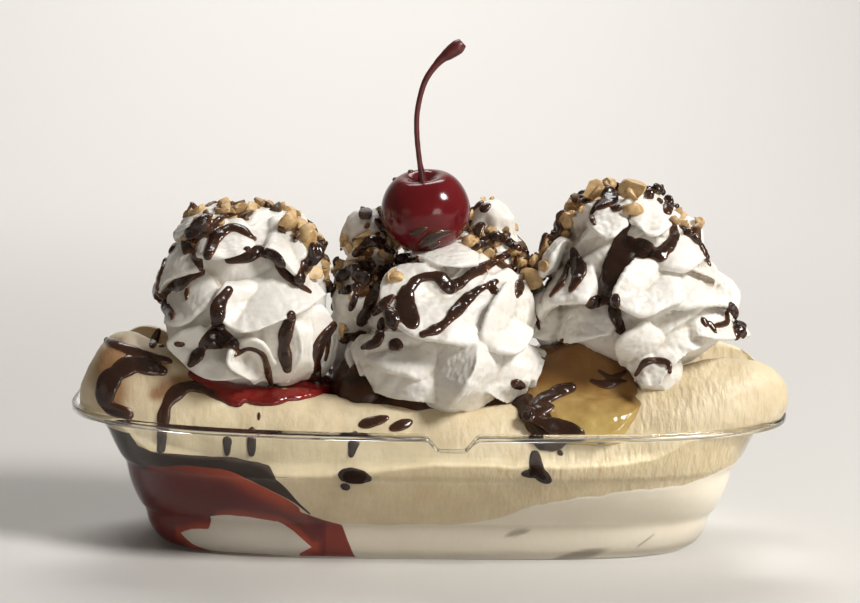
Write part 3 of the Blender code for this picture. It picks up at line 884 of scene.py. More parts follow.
cream = {
    "grain": 0.42,
    "step": 0.6,
    "rowStep": 0.75,
    "hollow": 1.35,
    "stand": 1.35,
    "mostTriangles": 190000,
    # depth below the smoothed surface at which the painted shade in the cream's valleys is full, in mm
    "hollowShadeDepth": 0.40,
    "left": {
        "base": (-54.5, -5, 46.5), "lean": (2.0, 1.0), "ridges": 5, "valley": 0.40, "edge": 1.1, "skew": 0.3,
        "rope": (12.5, 10.5), "reach": (12.0, 8.5), "laps": 2.0, "low": 13.0, "high": 41.0, "twist": 1.3,
        "phase": 0.6, "seed": 3, "froth": 0.4, "lobes": [],
        # height above the base and radius of the body that the lobes lie on
        "body": [(0, 13), (4, 18), (9, 21.5), (16, 22.5), (26, 22.5), (35, 21), (41, 18.5), (46, 14), (49, 8.5), (50.5, 1)],
        # edges of the folds as seen from the front: breadth of the fold to the left of its edge (right if below
        # zero), how far the edge stands out, then the places it runs through, in mm
        "folds": [
            (12, 7.0, [(-59, 74), (-61, 66), (-55, 60), (-45, 64), (-34, 71)]),
            (8, 4.5, [(-49, 84), (-44, 79), (-38, 72)]),
            (9, 5.5, [(-66, 82), (-58, 81), (-52, 85)]),
            (-11, 5.0, [(-61, 71), (-68, 63), (-75, 62)]),
            (-9, 4.0, [(-66, 78), (-72, 75), (-77, 69)]),
            (7, 5.0, [(-66, 61), (-72, 56), (-69, 50)]),
            (10, 6.0, [(-69, 50), (-61, 46), (-52, 47)]),
            (6, 6.5, [(-57, 57), (-58, 50), (-52, 45)]),
            (6, 5.5, [(-47, 51), (-51, 57), (-57, 57)]),
            (-7, 5.5, [(-42, 64), (-41, 54), (-44, 46)]),
            (-7, 3.5, [(-34, 68), (-32, 57), (-34, 47)]),
            (-8, 4.5, [(-39, 91), (-39, 84), (-42, 80)]),
            (-6, 3.5, [(-37, 62), (-38, 54), (-38, 47)]),
            (8, 4.0, [(-72, 86), (-66, 89), (-60, 90)]),
        ],
    },
    "centre": {
        "base": (4.5, -8, 41), "lean": (0, 4), "ridges": 6, "valley": 0.40, "edge": 1.0, "skew": 0.4,
        "rope": (12.5, 10.0), "reach": (11.5, 6.0), "laps": 2.0, "low": 13.5, "high": 37.5, "twist": 1.3,
        "phase": 2.2, "seed": 8, "froth": 0.7,
        # middle and radii of the lumps that the next squirt left behind the cherry
        "lobes": [((-20, 4, 70), (9.0, 11, 16)), ((-19, 5, 86), (8, 9, 8.5)), ((17, 6, 80), (10, 10, 11)),
                  ((17, 7, 91), (7, 7, 7.5)), ((-24, 2, 56), (7.5, 9, 13))],
        "body": [(0, 12), (4, 17), (9, 21), (14, 22.5), (24, 22), (32, 19.5), (38, 15.5), (43, 10), (45.5, 1)],
        "folds": [
            (13, 7.0, [(2, 80), (-7, 78), (-10, 68), (-3, 60), (12, 57)]),
            (10, 5.0, [(19, 75), (14, 66), (13, 57)]),
            (10, 8.5, [(12, 57), (10, 48), (4, 36)]),
            (-9, 8.5, [(12, 57), (10, 48), (4, 36)]),
            (9, 6.0, [(-12, 60), (-14, 52), (-2, 47)]),
            (11, 7.5, [(-19, 57), (-13, 44), (2, 40)]),
            (10, 6.0, [(13, 57), (21, 55), (26, 62)]),
            (10, 6.5, [(13, 45), (20, 40), (29, 55)]),
            (-9, 4.5, [(24, 79), (28, 70), (29, 62)]),
            (9, 5.0, [(-6, 84), (3, 80), (11, 81)]),
            (6, 3.5, [(-16, 80), (-20, 70), (-20, 63)]),
        ],
    },
    "right": {
        "base": (62, -5, 47), "lean": (-9, 1), "ridges": 5, "valley": 0.40, "edge": 1.0, "skew": -0.3,
        "rope": (12.5, 10.0), "reach": (14.0, 7.5), "laps": 2.2, "low": 22.0, "high": 48.5, "twist": 1.3,
        "phase": 4.0, "seed": 5, "froth": 0.9,
        "lobes": [((35, -4, 65), (7.5, 10, 7.5)), ((61.5, -22, 54.5), (7.0, 8, 8.0))],
        "body": [(0, 7), (5, 8.5), (8, 12), (10.5, 18), (14, 22.5), (22, 24), (31, 22), (40, 19), (49, 14.5),
                 (55, 9), (58, 1)],
        "folds": [
            (-10, 5.5, [(40, 88), (37, 78), (29, 73)]),
            (-11, 6.0, [(47, 71), (40, 69), (34, 65)]),
            (9, 5.5, [(31, 60), (40, 58), (53, 61)]),
            (13, 7.0, [(58, 83), (54, 72), (61, 67), (71, 72)]),
            (11, 5.5, [(62, 64), (55, 57), (60, 49)]),
            (7, 4.0, [(60, 47), (66, 46), (69, 51)]),
            (9, 4.0, [(69, 51), (74, 56), (79, 59)]),
            (9, 5.0, [(46, 93), (51, 89), (55, 93)]),
            (8, 4.5, [(57, 94), (62, 90), (68, 96)]),
            (8, 4.0, [(65, 81), (71, 81), (77, 84)]),
            (9, 6.0, [(75, 61), (82, 60), (89, 61)]),
            (9, 5.0, [(68, 69), (78, 70), (85, 69)]),
            (8, 3.5, [(73, 81), (80, 76), (82, 71)]),
        ],
    },
}


def castOn(tree, x, z, behind=False, slack=0.0):
    start = Vector((viewPoint.x, -viewPoint.y, viewPoint.z)) if behind else viewPoint
    way = (Vector((x, 0, z)) * mm - start).normalized()
    spot, normal, _, reach = tree.ray_cast(start, way)
    if spot is None and slack:
        spot, normal = tree.find_nearest(start + way * (abs(start.y) - 0.006) / abs(way.y), slack * mm)[:2]
        reach = (spot - start).length if spot is not None else 0.0
        return spot, normal, start, way, reach
    if spot is not None and normal.dot(way) > 0:
        normal = -normal
    return spot, normal, start, way, reach


def bead():
    bpy.ops.object.select_all(action="DESELECT")
    bpy.ops.mesh.primitive_ico_sphere_add(subdivisions=2, radius=1.0)
    piece = bpy.context.object
    points = corners(piece.data)
    faces = [tuple(face.vertices) for face in piece.data.polygons]
    bpy.data.objects.remove(piece)
    return points, faces


beadPoints, beadFaces = bead()


def beadMesh(name, middles, sizes):
    middles, sizes = np.array(middles), np.array(sizes)
    points = (beadPoints[None] * sizes[:, None, None] + middles[:, None]).reshape(-1, 3)
    starts = np.arange(len(middles)) * len(beadPoints)
    faces = (np.array(beadFaces)[None] + starts[:, None, None]).reshape(-1, 3)
    mesh = bpy.data.meshes.new(name)
    mesh.vertices.add(len(points))
    mesh.vertices.foreach_set("co", points.ravel())
    mesh.loops.add(faces.size)
    mesh.loops.foreach_set("vertex_index", faces.ravel())
    mesh.polygons.add(len(faces))
    mesh.polygons.foreach_set("loop_start", np.arange(len(faces)) * 3)
    mesh.update(calc_edges=True)
    return mesh


def bodyOf(name, s):
    rings = []
    top = s["body"][-1][0]
    for step in range(41):
        high = top * step / 40
        radius = float(np.interp(high, *zip(*s["body"])))
        x, y = (s["base"][k] + s["lean"][k] * high / top for k in (0, 1))
        rings.append([Vector((x + radius * math.cos(t), y + radius * math.sin(t), s["base"][2] + high)) * mm
                      for t in np.linspace(0, 2 * math.pi, 72, endpoint=False)])
    return newPiece(name, loftMesh(name, rings))


def foldPiece(name, s, tree):
    middles, sizes = [], []
    base, lean, top = Vector(s["base"]), Vector((*s["lean"], 0)), s["body"][-1][0]
    for f, (breadth, stand, fold) in enumerate(s["folds"]):
        path = curveThrough([(x, z, 0) for x, z in fold], cream["step"])
        side, wide = math.copysign(1, breadth), abs(breadth)
        reaches = {}
        for k, (x, z, _) in enumerate(path):
            ahead, before = path[min(k + 1, len(path) - 1)], path[max(k - 1, 0)]
            run = Vector((ahead[0] - before[0], 0, ahead[1] - before[1])).normalized()
            inward = Vector((-run.z, 0, run.x)) * side
            swell = 0.45 + 0.55 * math.sin(math.pi * k / (len(path) - 1)) ** 0.6 if 0 < k < len(path) - 1 else 0.45
            tall = cream["stand"] * stand * swell * (1 + 0.10 * noise.noise(Vector((k * 0.2, f * 3.1, s["seed"]))))
            for row in range(int(wide / cream["rowStep"]) + 1):
                gone = row * cream["rowStep"]
                spot, normal, start, way, reach = castOn(tree, x + inward.x * gone, z + inward.z * gone)
                last = reaches.get(row, reaches.get(row - 1))
                if spot is None or (last and reach > last + 6 * mm):
                    if last is None or row > 2:
                        continue
                    spot, reach = start + way * last, last
                reaches[row] = reach
                axis = base + lean * min(1.0, max(0.0, (z - base.z) / top))
                out = spot / mm - axis
                out = (Vector((out.x, out.y, 0)).normalized() * 0.6 - way * 0.45 + Vector((0, 0, 0.12))).normalized()
                radius = 0.85 + 1.45 * min(1.0, gone / 5)
                height = (tall + 0.8) * (1 - min(1.0, gone / wide)) ** cream["hollow"] - 0.5 * radius
                drop = 0.0
                while height - drop > -1.0:
                    middles.append(spot + (out * (height - drop) + inward * drop * 0.4) * mm)
                    sizes.append(radius * mm)
                    drop += 1.3
    return newPiece(name, beadMesh(name, middles, sizes))


def ropePoints(s):
    """"""
    around = s["ridges"] * 14
    total = s["laps"] * 2 * math.pi
    steps = int(total / math.radians(3))
    t = np.linspace(0, 2 * math.pi, around, endpoint=False)
    star = np.abs(np.sin(s["ridges"] * (t + s["skew"] * np.sin(s["ridges"] * t) / s["ridges"]) / 2)) ** s["edge"]
    points = []
    for k in range(steps + 1):
        u = k / steps
        a = s["phase"] + u * total
        reach = s["reach"][0] + (s["reach"][1] - s["reach"][0]) * u**1.2
        thick = s["rope"][0] + (s["rope"][1] - s["rope"][0]) * u**1.3
        thick *= 1 + 0.06 * math.sin(2.7 * a + s["seed"]) + 0.04 * math.sin(4.9 * a + 2 * s["seed"])
        if k < 8:
            thick *= math.sqrt(1 - (1 - k / 8) ** 2 * 0.95)
        if k > steps - 6:
            thick *= 0.3 + 0.7 * (steps - k) / 6
        valley = s["valley"] * (1 + 0.2 * math.sin(1.9 * a + s["seed"]))
        size = thick * (1 - valley * star)
        turned = t + s["twist"] * (a - s["phase"])
        out = reach + size * np.cos(turned)
        up = s["low"] + (s["high"] - s["low"]) * u + size * np.sin(turned)
        x = s["base"][0] + s["lean"][0] * u + out * math.cos(a)
        y = s["base"][1] + s["lean"][1] * u + out * math.sin(a)
        points.append(np.stack([x, y, s["base"][2] + up], axis=1) * mm)
    return points


# painted shade: vertices lying below a smoothed copy of the cream, in its valleys and creases, get a 'hollow' mark of
# up to 0.85 that darkens and warms the cream there
def paintHollowShade(piece):
    soft = newPiece("soft", piece.data.copy())
    applyStep(soft, "SMOOTH", factor=0.5, iterations=45)
    normals = np.empty(len(piece.data.vertices) * 3)
    piece.data.vertex_normals.foreach_get("vector", normals)
    lift = ((corners(soft.data) - corners(piece.data)) * normals.reshape(-1, 3)).sum(axis=1) / mm
    bpy.data.objects.remove(soft)
    mark = piece.data.attributes.new("hollow", "FLOAT", "POINT")
    mark.data.foreach_set("value", np.clip(lift / cream["hollowShadeDepth"], 0, 1) * 0.85)


def makeCream(name, s, material):
    rings = ropePoints(s)
    count = len(rings[0])
    faces = []
    for i in range(len(rings) - 1):
        for j in range(count):
            k = (j + 1) % count
            faces.append((i * count + j, i * count + k, (i + 1) * count + k, (i + 1) * count + j))
    faces.append(tuple(range(count)))
    faces.append(tuple((len(rings) - 1) * count + j for j in range(count)))
    rope = newPiece(name, meshFrom(name, np.concatenate(rings), faces))
    faceOut(rope.data)
    core = bodyOf("core", s)
    lumps = []
    for middle, radii in s["lobes"]:
        bpy.ops.object.select_all(action="DESELECT")
        bpy.ops.mesh.primitive_uv_sphere_add(segments=48, ring_count=32, radius=mm, location=Vector(middle) * mm, scale=radii)
        bpy.ops.object.transform_apply(location=True, rotation=True, scale=True)
        lumps.append(bpy.context.object)
        roughen(lumps[-1], [(9, 2.6), (4, 0.9)])
    folds = foldPiece("folds", s, treeOf([core, *lumps]))
    piece = joinPieces([rope, core, folds, *lumps])
    fuse(piece, cream["grain"], 2)
    froth = s["froth"]
    roughen(piece, [(12, 1.2), (3.2, 0.30 * froth), (1.3, 0.25 * froth)])
    share = cream["mostTriangles"] / (2 * len(piece.data.polygons))
    if share < 1:
        applyStep(piece, "DECIMATE", ratio=share)
    paintHollowShade(piece)
    piece.data.materials.clear()
    piece.data.materials.append(material)
    piece.data.shade_smooth()
    return piece


whippedCream, tree, shader, tone = mottledFinish(
    "whippedCream", (0.84, 0.815, 0.765), (0.79, 0.755, 0.69), 7.0, 0.3, (1.6, 0.11, 0.5, 0.035), 0.42, 0.05,
    Subsurface_Weight=0.2, Subsurface_Scale=0.0015, Subsurface_Radius=(1.0, 0.88, 0.72))
# painted shade in the cream's valleys and creases, read from the 'hollow' mark
useMark(tree, shader, "hollow", (0.50, 0.43, 0.34))
creams = []
for side in ("left", "centre", "right"):
    made = makeCream(f"cream_{side}", cream[side], whippedCream)
    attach(made, "root")
    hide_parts(f"whipped_cream_{side}")
    creams.append(made)
    print("cream", side, len(made.data.polygons))

# ---- cherry

cherry = {
    "radius": 12.6,
    "tall": 0.95,
    "middle": Vector((-3.5, -9.0, 97.2)),
    "dimpleDepth": 4.4,
    "dimpleRadius": 4.2,
    "stemRadius": 0.75,
    "stem": [
        (-0.2, -0.2, 0.0, 2.2), (-0.3, -0.3, 1.1, 1.8), (-0.5, -0.6, 3.0, 1.3), (-1.3, -1.2, 7.0, 1.0),
        (-2.2, -1.4, 14.5, 1.0), (-2.1, -1.4, 21.0, 1.0), (-0.3, -1.4, 28.5, 1.1), (3.2, -1.4, 33.8, 1.4),
        (6.3, -1.4, 36.5, 2.4), (8.4, -1.4, 38.1, 2.7), (9.8, -1.4, 39.4, 1.9),
    ],
}
cherryTilt = Matrix.Rotation(math.radians(14), 3, "X") @ Matrix.Rotation(math.radians(-8), 3, "Y")


def makeCherry(material):
    bpy.ops.object.select_all(action="DESELECT")
    bpy.ops.mesh.primitive_uv_sphere_add(segments=96, ring_count=64, radius=cherry["radius"])
    piece = bpy.context.object
    piece.name = piece.data.name = "maraschino"
    places = corners(piece.data)
    for i, (x, y, z) in enumerate(places):
        flat = math.hypot(x, y)
        z *= cherry["tall"]
        if z > 0:
            z -= cherry["dimpleDepth"] * math.exp(-((flat / cherry["dimpleRadius"]) ** 2))
        at = Vector((x, y, z))
        at *= 1 + 0.02 * noise.noise(at / 9 + Vector((4, 2, 1)))
        places[i] = cherry["middle"] + cherryTilt @ at
    setCorners(piece.data, places * mm)
    piece.data.materials.append(material)
    piece.data.shade_smooth()
    return piece


def makeStem(material):
    depth = cherry["tall"] * cherry["radius"] - cherry["dimpleDepth"]
    seat = cherry["middle"] + cherryTilt @ Vector((0, 0, depth))
    path = curveThrough(cherry["stem"], 0.5)
    rings = []
    for i, step in enumerate(path):
        along = Vector((path[min(i + 1, len(path) - 1)] - path[max(i - 1, 0)])[:3])
        across = along.cross(Vector((0, 1, 0))).normalized()
        other = along.cross(across).normalized()
        radius = float(cherry["stemRadius"] * step[3]) * (1 + 0.06 * noise.noise(Vector((i * 0.3, 1, 2))))
        centre = seat + Vector(step[:3])
        rings.append([(centre + radius * (across * math.cos(k * math.pi / 8) + other * math.sin(k * math.pi / 8))) * mm
                      for k in range(16)])
    return newPiece("stalk", loftMesh("stalk", rings), material)


cherrySkin = mottledFinish(
    "cherrySkin", (0.150, 0.008, 0.011), (0.095, 0.005, 0.008), 8.0, 0.25, (5.0, 0.05, 0.8, 0.006), 0.16, 0.04,
    Specular_IOR_Level=0.35,
    Subsurface_Weight=0.1, Subsurface_Scale=0.003, Subsurface_Radius=(1.0, 0.1, 0.1))[0]
cherryStalk = mottledFinish(
    "cherryStalk", (0.13, 0.020, 0.020), (0.07, 0.012, 0.012), 3.0, 0.2, (1.5, 0.08, 0.4, 0.02), 0.38, 0.08)[0]
maraschino = makeCherry(cherrySkin)
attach(maraschino, "root")
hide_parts("cherry")
stalk = makeStem(cherryStalk)
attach(stalk, "root")
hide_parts("cherry_stem")
print("cherry made")

# ---- chopped nuts, laid on as seen from the front, in mm

nuts = {
    # the biggest bits: x, height, half size
    "big": [(-42, 91, 2.8), (-36, 87, 2.3), (-53, 95, 1.9), (-67, 91, 1.9), (-35, 77, 2.0), (12, 90, 2.2), (28, 77, 2.5),
            (-11, 86, 2.0), (46, 103, 2.5), (57, 103, 2.8), (56, 98, 2.3), (40, 98, 2.2), (28, 83, 1.9), (71, 95, 1.9)],
    # strips of bits: from x, height to x, height, spread, how many, smallest, largest, lightest shade
    "strips": [
        (-62, 93, -48, 95, 0.8, 7, 1.4, 1.9, 1.0), (-40, 91, -31, 85, 1.2, 7, 1.4, 2.3, 1.0),
        (-33, 81, -25, 78, 1.0, 6, 1.1, 1.8, 1.0), (-27, 87, -23, 84, 1.2, 4, 1.2, 1.7, 1.0),
        (-27, 59, -23, 64, 1.0, 3, 1.1, 1.7, 1.0), (-70, 88, -64, 92, 0.8, 3, 1.4, 1.9, 1.0),
        (-23, 80, -14, 87, 2.5, 8, 1.1, 1.8, 1.0), (-15, 74, -11, 77, 1.0, 3, 1.3, 1.7, 1.0),
        (8, 86, 18, 86, 1.2, 6, 1.3, 2.2, 1.0), (20, 90, 29, 78, 1.5, 6, 1.1, 2.2, 1.0),
        (0, 90, 5, 88, 0.8, 3, 1.0, 1.3, 1.0), (30, 87, 40, 99, 1.5, 7, 1.1, 2.0, 1.0),
        (44, 103, 59, 104, 1.5, 7, 1.4, 2.4, 1.0), (71, 94, 78, 86, 1.0, 4, 0.9, 1.7, 1.0),
        (-71, 87, -62, 94, 1.6, 16, 0.6, 1.3, 0.5), (-62, 94, -48, 97, 1.2, 12, 0.6, 1.3, 0.5),
        (-42, 91, -28, 80, 2.6, 22, 0.6, 1.3, 0.5), (-31, 78, -22, 76, 2.2, 14, 0.6, 1.3, 0.5),
        (-24, 77, -12, 88, 3.0, 30, 0.6, 1.3, 0.5), (-18, 88, -12, 94, 2.4, 10, 0.6, 1.3, 0.5),
        (8, 92, 22, 86, 2.4, 16, 0.6, 1.3, 0.5), (14, 84, 30, 77, 2.0, 18, 0.6, 1.3, 0.5),
        (28, 84, 38, 96, 1.5, 12, 0.6, 1.3, 0.5), (38, 98, 50, 105, 1.8, 14, 0.6, 1.3, 0.5),
        (50, 102, 62, 105, 2.2, 12, 0.6, 1.3, 0.5), (66, 101, 78, 88, 1.5, 9, 0.6, 1.3, 0.5),
    ],
    # middle of each top and how low on it the bits lie, with how many
    "tops": [(-53, -3, 84, 56), (2, 0, 76, 56), (55, -3, 90, 48)],
}


def chopNut(index):
    """"""
    rng = random.Random(40 + index)
    bpy.ops.object.select_all(action="DESELECT")
    bpy.ops.mesh.primitive_ico_sphere_add(subdivisions=2, radius=1.0)
    piece = bpy.context.object
    bpy.ops.object.mode_set(mode="EDIT")
    bpy.ops.mesh.select_all(action="SELECT")
    bpy.ops.transform.resize(value=(1.25, 1.0, 0.85))
    for _ in range(rng.choice((3, 4, 4, 5))):
        bpy.ops.mesh.select_all(action="SELECT")
        way = Vector((rng.uniform(-1, 1), rng.uniform(-1, 1), rng.uniform(-1, 1))).normalized()
        bpy.ops.mesh.bisect(plane_co=way * rng.uniform(0.15, 0.75), plane_no=way, use_fill=True, clear_outer=True)
    bpy.ops.object.mode_set(mode="OBJECT")
    applyStep(piece, "BEVEL", width=0.12, segments=1, limit_method="ANGLE", angle_limit=math.radians(35))
    places = corners(piece.data)
    for i, place in enumerate(places):
        places[i] *= 1 + 0.10 * noise.noise(Vector(place) * 1.7 + Vector((index, 0, 0)))
    points = places - places.mean(axis=0)
    faces = [tuple(face.vertices) for face in piece.data.polygons]
    bpy.data.objects.remove(piece)
    return points, faces


def dropOn(tree, x, y):
    spot, normal = tree.ray_cast(Vector((x, y, 140)) * mm, Vector((0, 0, -1)))[:2]
    return spot, normal


def layNuts(surfaces, material):
    shapes = [chopNut(i) for i in range(9)]
    tree, creamTree = treeOf(surfaces), treeOf(surfaces[:3])
    rng = random.Random(7)
    points, faces, shades, laid = [], [], [], []
    for x, z, r in nuts["big"]:
        spot, normal = castOn(tree, x, z, False, 8.0)[:2]
        laid.append((spot, normal, r, 0.45 + 0.55 * rng.random()))
    for behind in (False, True):
        for x, z, toX, toZ, spread, count, least, most, light in nuts["strips"]:
            for _ in range(count if not behind else count // 2):
                share = rng.random()
                at = x + (toX - x) * share + rng.gauss(0, spread), z + (toZ - z) * share + rng.gauss(0, spread)
                spot, normal = castOn(creamTree, *at, behind, 4.0)[:2]
                if spot is not None and spot.z > 0.055:
                    laid.append((spot, normal, rng.uniform(least, most), light * rng.random()))
    for x, y, low, count in nuts["tops"]:
        for _ in range(count * 4):
            turn, out = rng.uniform(0, 2 * math.pi), 24 * math.sqrt(rng.random())
            spot, normal = dropOn(creamTree, x + out * math.cos(turn), y + out * math.sin(turn))
            if spot is not None and spot.z > low * mm and spot.y > (y - 7) * mm and count > 0 and normal.z > 0.3:
                laid.append((spot, normal, rng.uniform(0.7, 1.8), rng.random()))
                count -= 1
    for spot, normal, r, shade in laid:
        shape, shapeFaces = rng.choice(shapes)
        turn = normal.to_track_quat("Z", "Y").to_matrix() @ Matrix.Rotation(rng.uniform(0, 6.28), 3, "Z")
        turn = turn @ Matrix.Rotation(rng.uniform(-0.6, 0.6), 3, "X")
        size = r * 1.3 * mm
        start = len(points)
        middle = np.array(spot + normal * size * 0.35)
        points += [tuple(p) for p in (shape * size) @ np.array(turn).T + middle]
        faces += [tuple(start + v for v in face) for face in shapeFaces]
        shades += [shade] * len(shape)
    piece = newPiece("chopped_nuts", meshFrom("chopped_nuts", points, faces), material)
    piece.data.set_sharp_from_angle(angle=math.radians(40))
    mark = piece.data.attributes.new("shade", "FLOAT", "POINT")
    mark.data.foreach_set("value", shades)
    return piece


nutFlesh, tree, shader, tone = mottledFinish(
    "nutFlesh", (0.66, 0.49, 0.28), (0.46, 0.29, 0.13), 2.0, 0.15, (1.2, 0.15, 0.35, 0.05), 0.42, 0.08,
    Subsurface_Weight=0.12, Subsurface_Scale=0.0015, Subsurface_Radius=(1.0, 0.6, 0.3))
shade = addNode(tree, "ShaderNodeAttribute", attribute_name="shade")
ramp = addNode(tree, "ShaderNodeValToRGB")
ramp.color_ramp.elements[0].color = (0.10, 0.065, 0.045, 1)
ramp.color_ramp.elements[1].color = (1.18, 1.15, 1.05, 1)
ramp.color_ramp.elements.new(0.22).color = (0.26, 0.17, 0.10, 1)
ramp.color_ramp.elements.new(0.36).color = (0.86, 0.80, 0.70, 1)
times = addNode(tree, "ShaderNodeMix", {0: 1.0}, data_type="RGBA", blend_type="MULTIPLY")
tree.links.new(shade.outputs["Fac"], ramp.inputs["Fac"])
tree.links.new(tone.outputs["Color"], times.inputs[6])
tree.links.new(ramp.outputs["Color"], times.inputs[7])
tree.links.new(times.outputs[2], shader.inputs["Base Color"])

choppedNuts = layNuts([*creams, maraschino], nutFlesh)
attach(choppedNuts, "root")
print("nuts made", len(choppedNuts.data.polygons))

# ---- fudge syrup drizzle, as seen from the front: fattest half width, then the places it runs through, in mm

drizzle = {
    "grain": 0.36,
    "left": [
        (2.3, [(-71, 83), (-69, 88), (-65, 93)]),
        (1.2, [(-69, 83), (-67, 78)]),
        (1.7, [(-65, 82), (-62, 88), (-57, 90), (-52, 87)]),
        (0.9, [(-65, 89), (-61, 93), (-57, 94)]),
        (1.9, [(-59, 81), (-55, 82), (-50, 84)]),
        (1.4, [(-54, 84), (-46, 82), (-42, 76), (-36, 72)]),
        (2.3, [(-32, 86), (-36, 82), (-39, 75)]),
        (1.0, [(-77, 81), (-79, 74), (-80, 68)]),
        (1.6, [(-67, 77), (-74, 74), (-78, 69), (-75, 64)]),
        (2.0, [(-75, 73), (-70, 75)]),
        (0.8, [(-71, 72), (-71, 69)]),
        (1.1, [(-81, 55), (-79, 60)]),
        (1.7, [(-59, 72), (-62, 67), (-62, 59), (-64, 56)]),
        (2.3, [(-66, 56), (-62, 58), (-57, 56)]),
        (1.0, [(-74, 56), (-72, 56)]),
        (1.5, [(-67, 54), (-70, 50)]),
        (0.9, [(-57, 53), (-53, 55), (-49, 53), (-47, 46), (-45, 41)]),
        (1.8, [(-46, 44), (-44, 41)]),
        (1.8, [(-41, 65), (-43, 57), (-42, 49)]),
        (2.0, [(-29, 62), (-33, 56), (-34, 48), (-32, 43)]),
        (0.8, [(-30, 60), (-31, 52)]),
    ],
    "centre": [
        (2.5, [(-6, 63), (-8, 68), (-8, 73)]),
        (1.5, [(-8, 71), (-5, 76), (1, 77), (5, 74), (11, 78), (21, 84)]),
        (1.4, [(-3, 60), (3, 63), (11, 72), (18, 76)]),
        (1.3, [(16, 74), (18, 73)]),
        (1.5, [(25, 76), (24, 72)]),
        (1.9, [(-11, 57), (-10, 56)]),
        (1.3, [(-20, 56), (-16, 58), (-15, 64)]),
        (1.4, [(-26, 58), (-20, 60)]),
        (1.9, [(-21, 63), (-18, 69), (-15, 77), (-13, 80)]),
        (1.3, [(-17, 66), (-12, 71)]),
        (1.9, [(-13, 67), (-11, 62)]),
        (2.2, [(-22, 77), (-20, 76)]),
        (1.9, [(-10, 82), (-5, 82)]),
        (1.0, [(-7, 89), (-3, 91)]),
        (1.4, [(-4, 86), (0, 89), (4, 90)]),
        (1.0, [(-2, 85), (1, 87)]),
        (1.2, [(11, 85), (17, 89), (24, 86), (28, 84)]),
        (0.9, [(23, 79), (24, 84)]),
        (0.5, [(30, 66), (31, 62)]),
        (1.3, [(24, 46), (27, 45)]),
        (1.3, [(8, 91), (10, 93)]),
        (1.2, [(-17, 93), (-12, 88)]),
        (1.6, [(-28, 76), (-23, 79), (-18, 80)]),
        (1.4, [(-23, 83), (-18, 87), (-12, 84)]),
        (1.1, [(-27, 72), (-19, 75)]),
        (1.0, [(-24, 67), (-22, 73)]),
    ],
    "right": [
        (2.7, [(46, 70), (51, 73), (53, 82), (57, 87), (66, 84)]),
        (1.7, [(65, 84), (69, 89), (69, 94)]),
        (1.1, [(56, 93), (52, 86), (48, 74)]),
        (1.9, [(40, 85), (42, 79), (40, 74)]),
        (1.2, [(39, 82), (37, 76), (34, 72)]),
        (1.8, [(53, 72), (53, 67), (55, 62)]),
        (1.6, [(35, 93), (35, 89)]),
        (2.1, [(50, 103), (50, 100), (47, 98)]),
        (1.4, [(51, 98), (53, 98)]),
        (1.8, [(63, 105), (67, 101), (67, 97)]),
        (1.0, [(68, 101), (71, 101)]),
        (1.3, [(61, 104), (62, 101)]),
        (0.8, [(47, 100), (45, 96), (46, 93)]),
        (1.2, [(71, 93), (77, 88), (80, 82)]),
        (0.9, [(79, 66), (80, 64)]),
        (0.8, [(81, 65), (83, 62)]),
        (1.0, [(83, 64), (86, 65), (86, 68)]),
        (1.8, [(87, 70), (90, 65), (89, 61)]),
        (0.7, [(92, 62), (90, 59)]),
        (0.9, [(60, 49), (63, 53), (69, 53), (70, 50)]),
        (1.1, [(36, 57), (38, 59)]),
        (1.0, [(37, 101), (34, 95)]),
        (1.1, [(32, 91), (28, 86)]),
    ],
    "banana": [
        (1.7, [(-94, 57), (-87, 54), (-76, 51)]),
        (2.8, [(-78, 48), (-86, 50), (-93, 45), (-94, 38), (-88, 35)]),
        (1.9, [(-58, 39), (-66, 43), (-72, 43), (-77, 37), (-78, 25)]),
        (0.6, [(-50, 36), (-50, 34)]),
        (1.3, [(-59, 30), (-59, 24)]),
        (1.4, [(-52, 31), (-52, 24)]),
        (1.5, [(-22, 30), (-23, 24)]),
        (2.6, [(-25, 18), (-18, 17)]),
        (1.2, [(-25, 15), (-24, 14)]),
        (1.7, [(-20, 33), (-13, 35)]),
        (1.7, [(-11, 32), (-6, 34)]),
        (2.0, [(31, 25), (32, 20), (35, 17)]),
        (1.5, [(28, 19), (32, 19)]),
        (0.9, [(38, 26), (39, 25)]),
        (1.2, [(50, 29), (52, 30)]),
        (2.7, [(30, 39), (34, 42), (41, 45)]),
        (2.4, [(28, 36), (35, 39)]),
        (2.8, [(32, 35), (37, 33), (44, 31)]),
        (0.9, [(49, 50), (53, 48), (57, 50)]),
        (1.2, [(47, 47), (51, 46), (57, 47)]),
    ],
    # where syrup has soaked into the banana
    "soaked": [
        (4.0, [(-91, 56), (-93, 50), (-92, 39)]),
        (2.4, [(-91, 54), (-85, 51), (-78, 50)]),
        (2.0, [(-80, 41), (-72, 45), (-65, 43)]),
    ],
    "strawberry": [
        (2.7, [(-69, 47), (-60, 43), (-48, 41), (-36, 42), (-30, 43)]),
        (1.8, [(-62, 42), (-56, 39)]),
    ],
}


def beadsAlong(strokes, tree, behind=False, spread=1.28):
    beads = []
    for fattest, stroke in strokes:
        path = curveThrough([(x, z, 0) for x, z in stroke], 0.35)
        for k, (x, z, _) in enumerate(path):
            spot, normal = castOn(tree, x, z, behind, 5.0)[:2]
            swell = 0.4 + 0.6 * math.sin(math.pi * (0.06 + 0.88 * k / (len(path) - 1)) ** 0.85) ** 0.8
            swell *= 1 + 0.35 * noise.noise(Vector((k * 0.09, x * 0.1, fattest)))
            if spot is not None:
                beads.append((spot, normal, max(0.4, fattest * swell * spread)))
    return beads


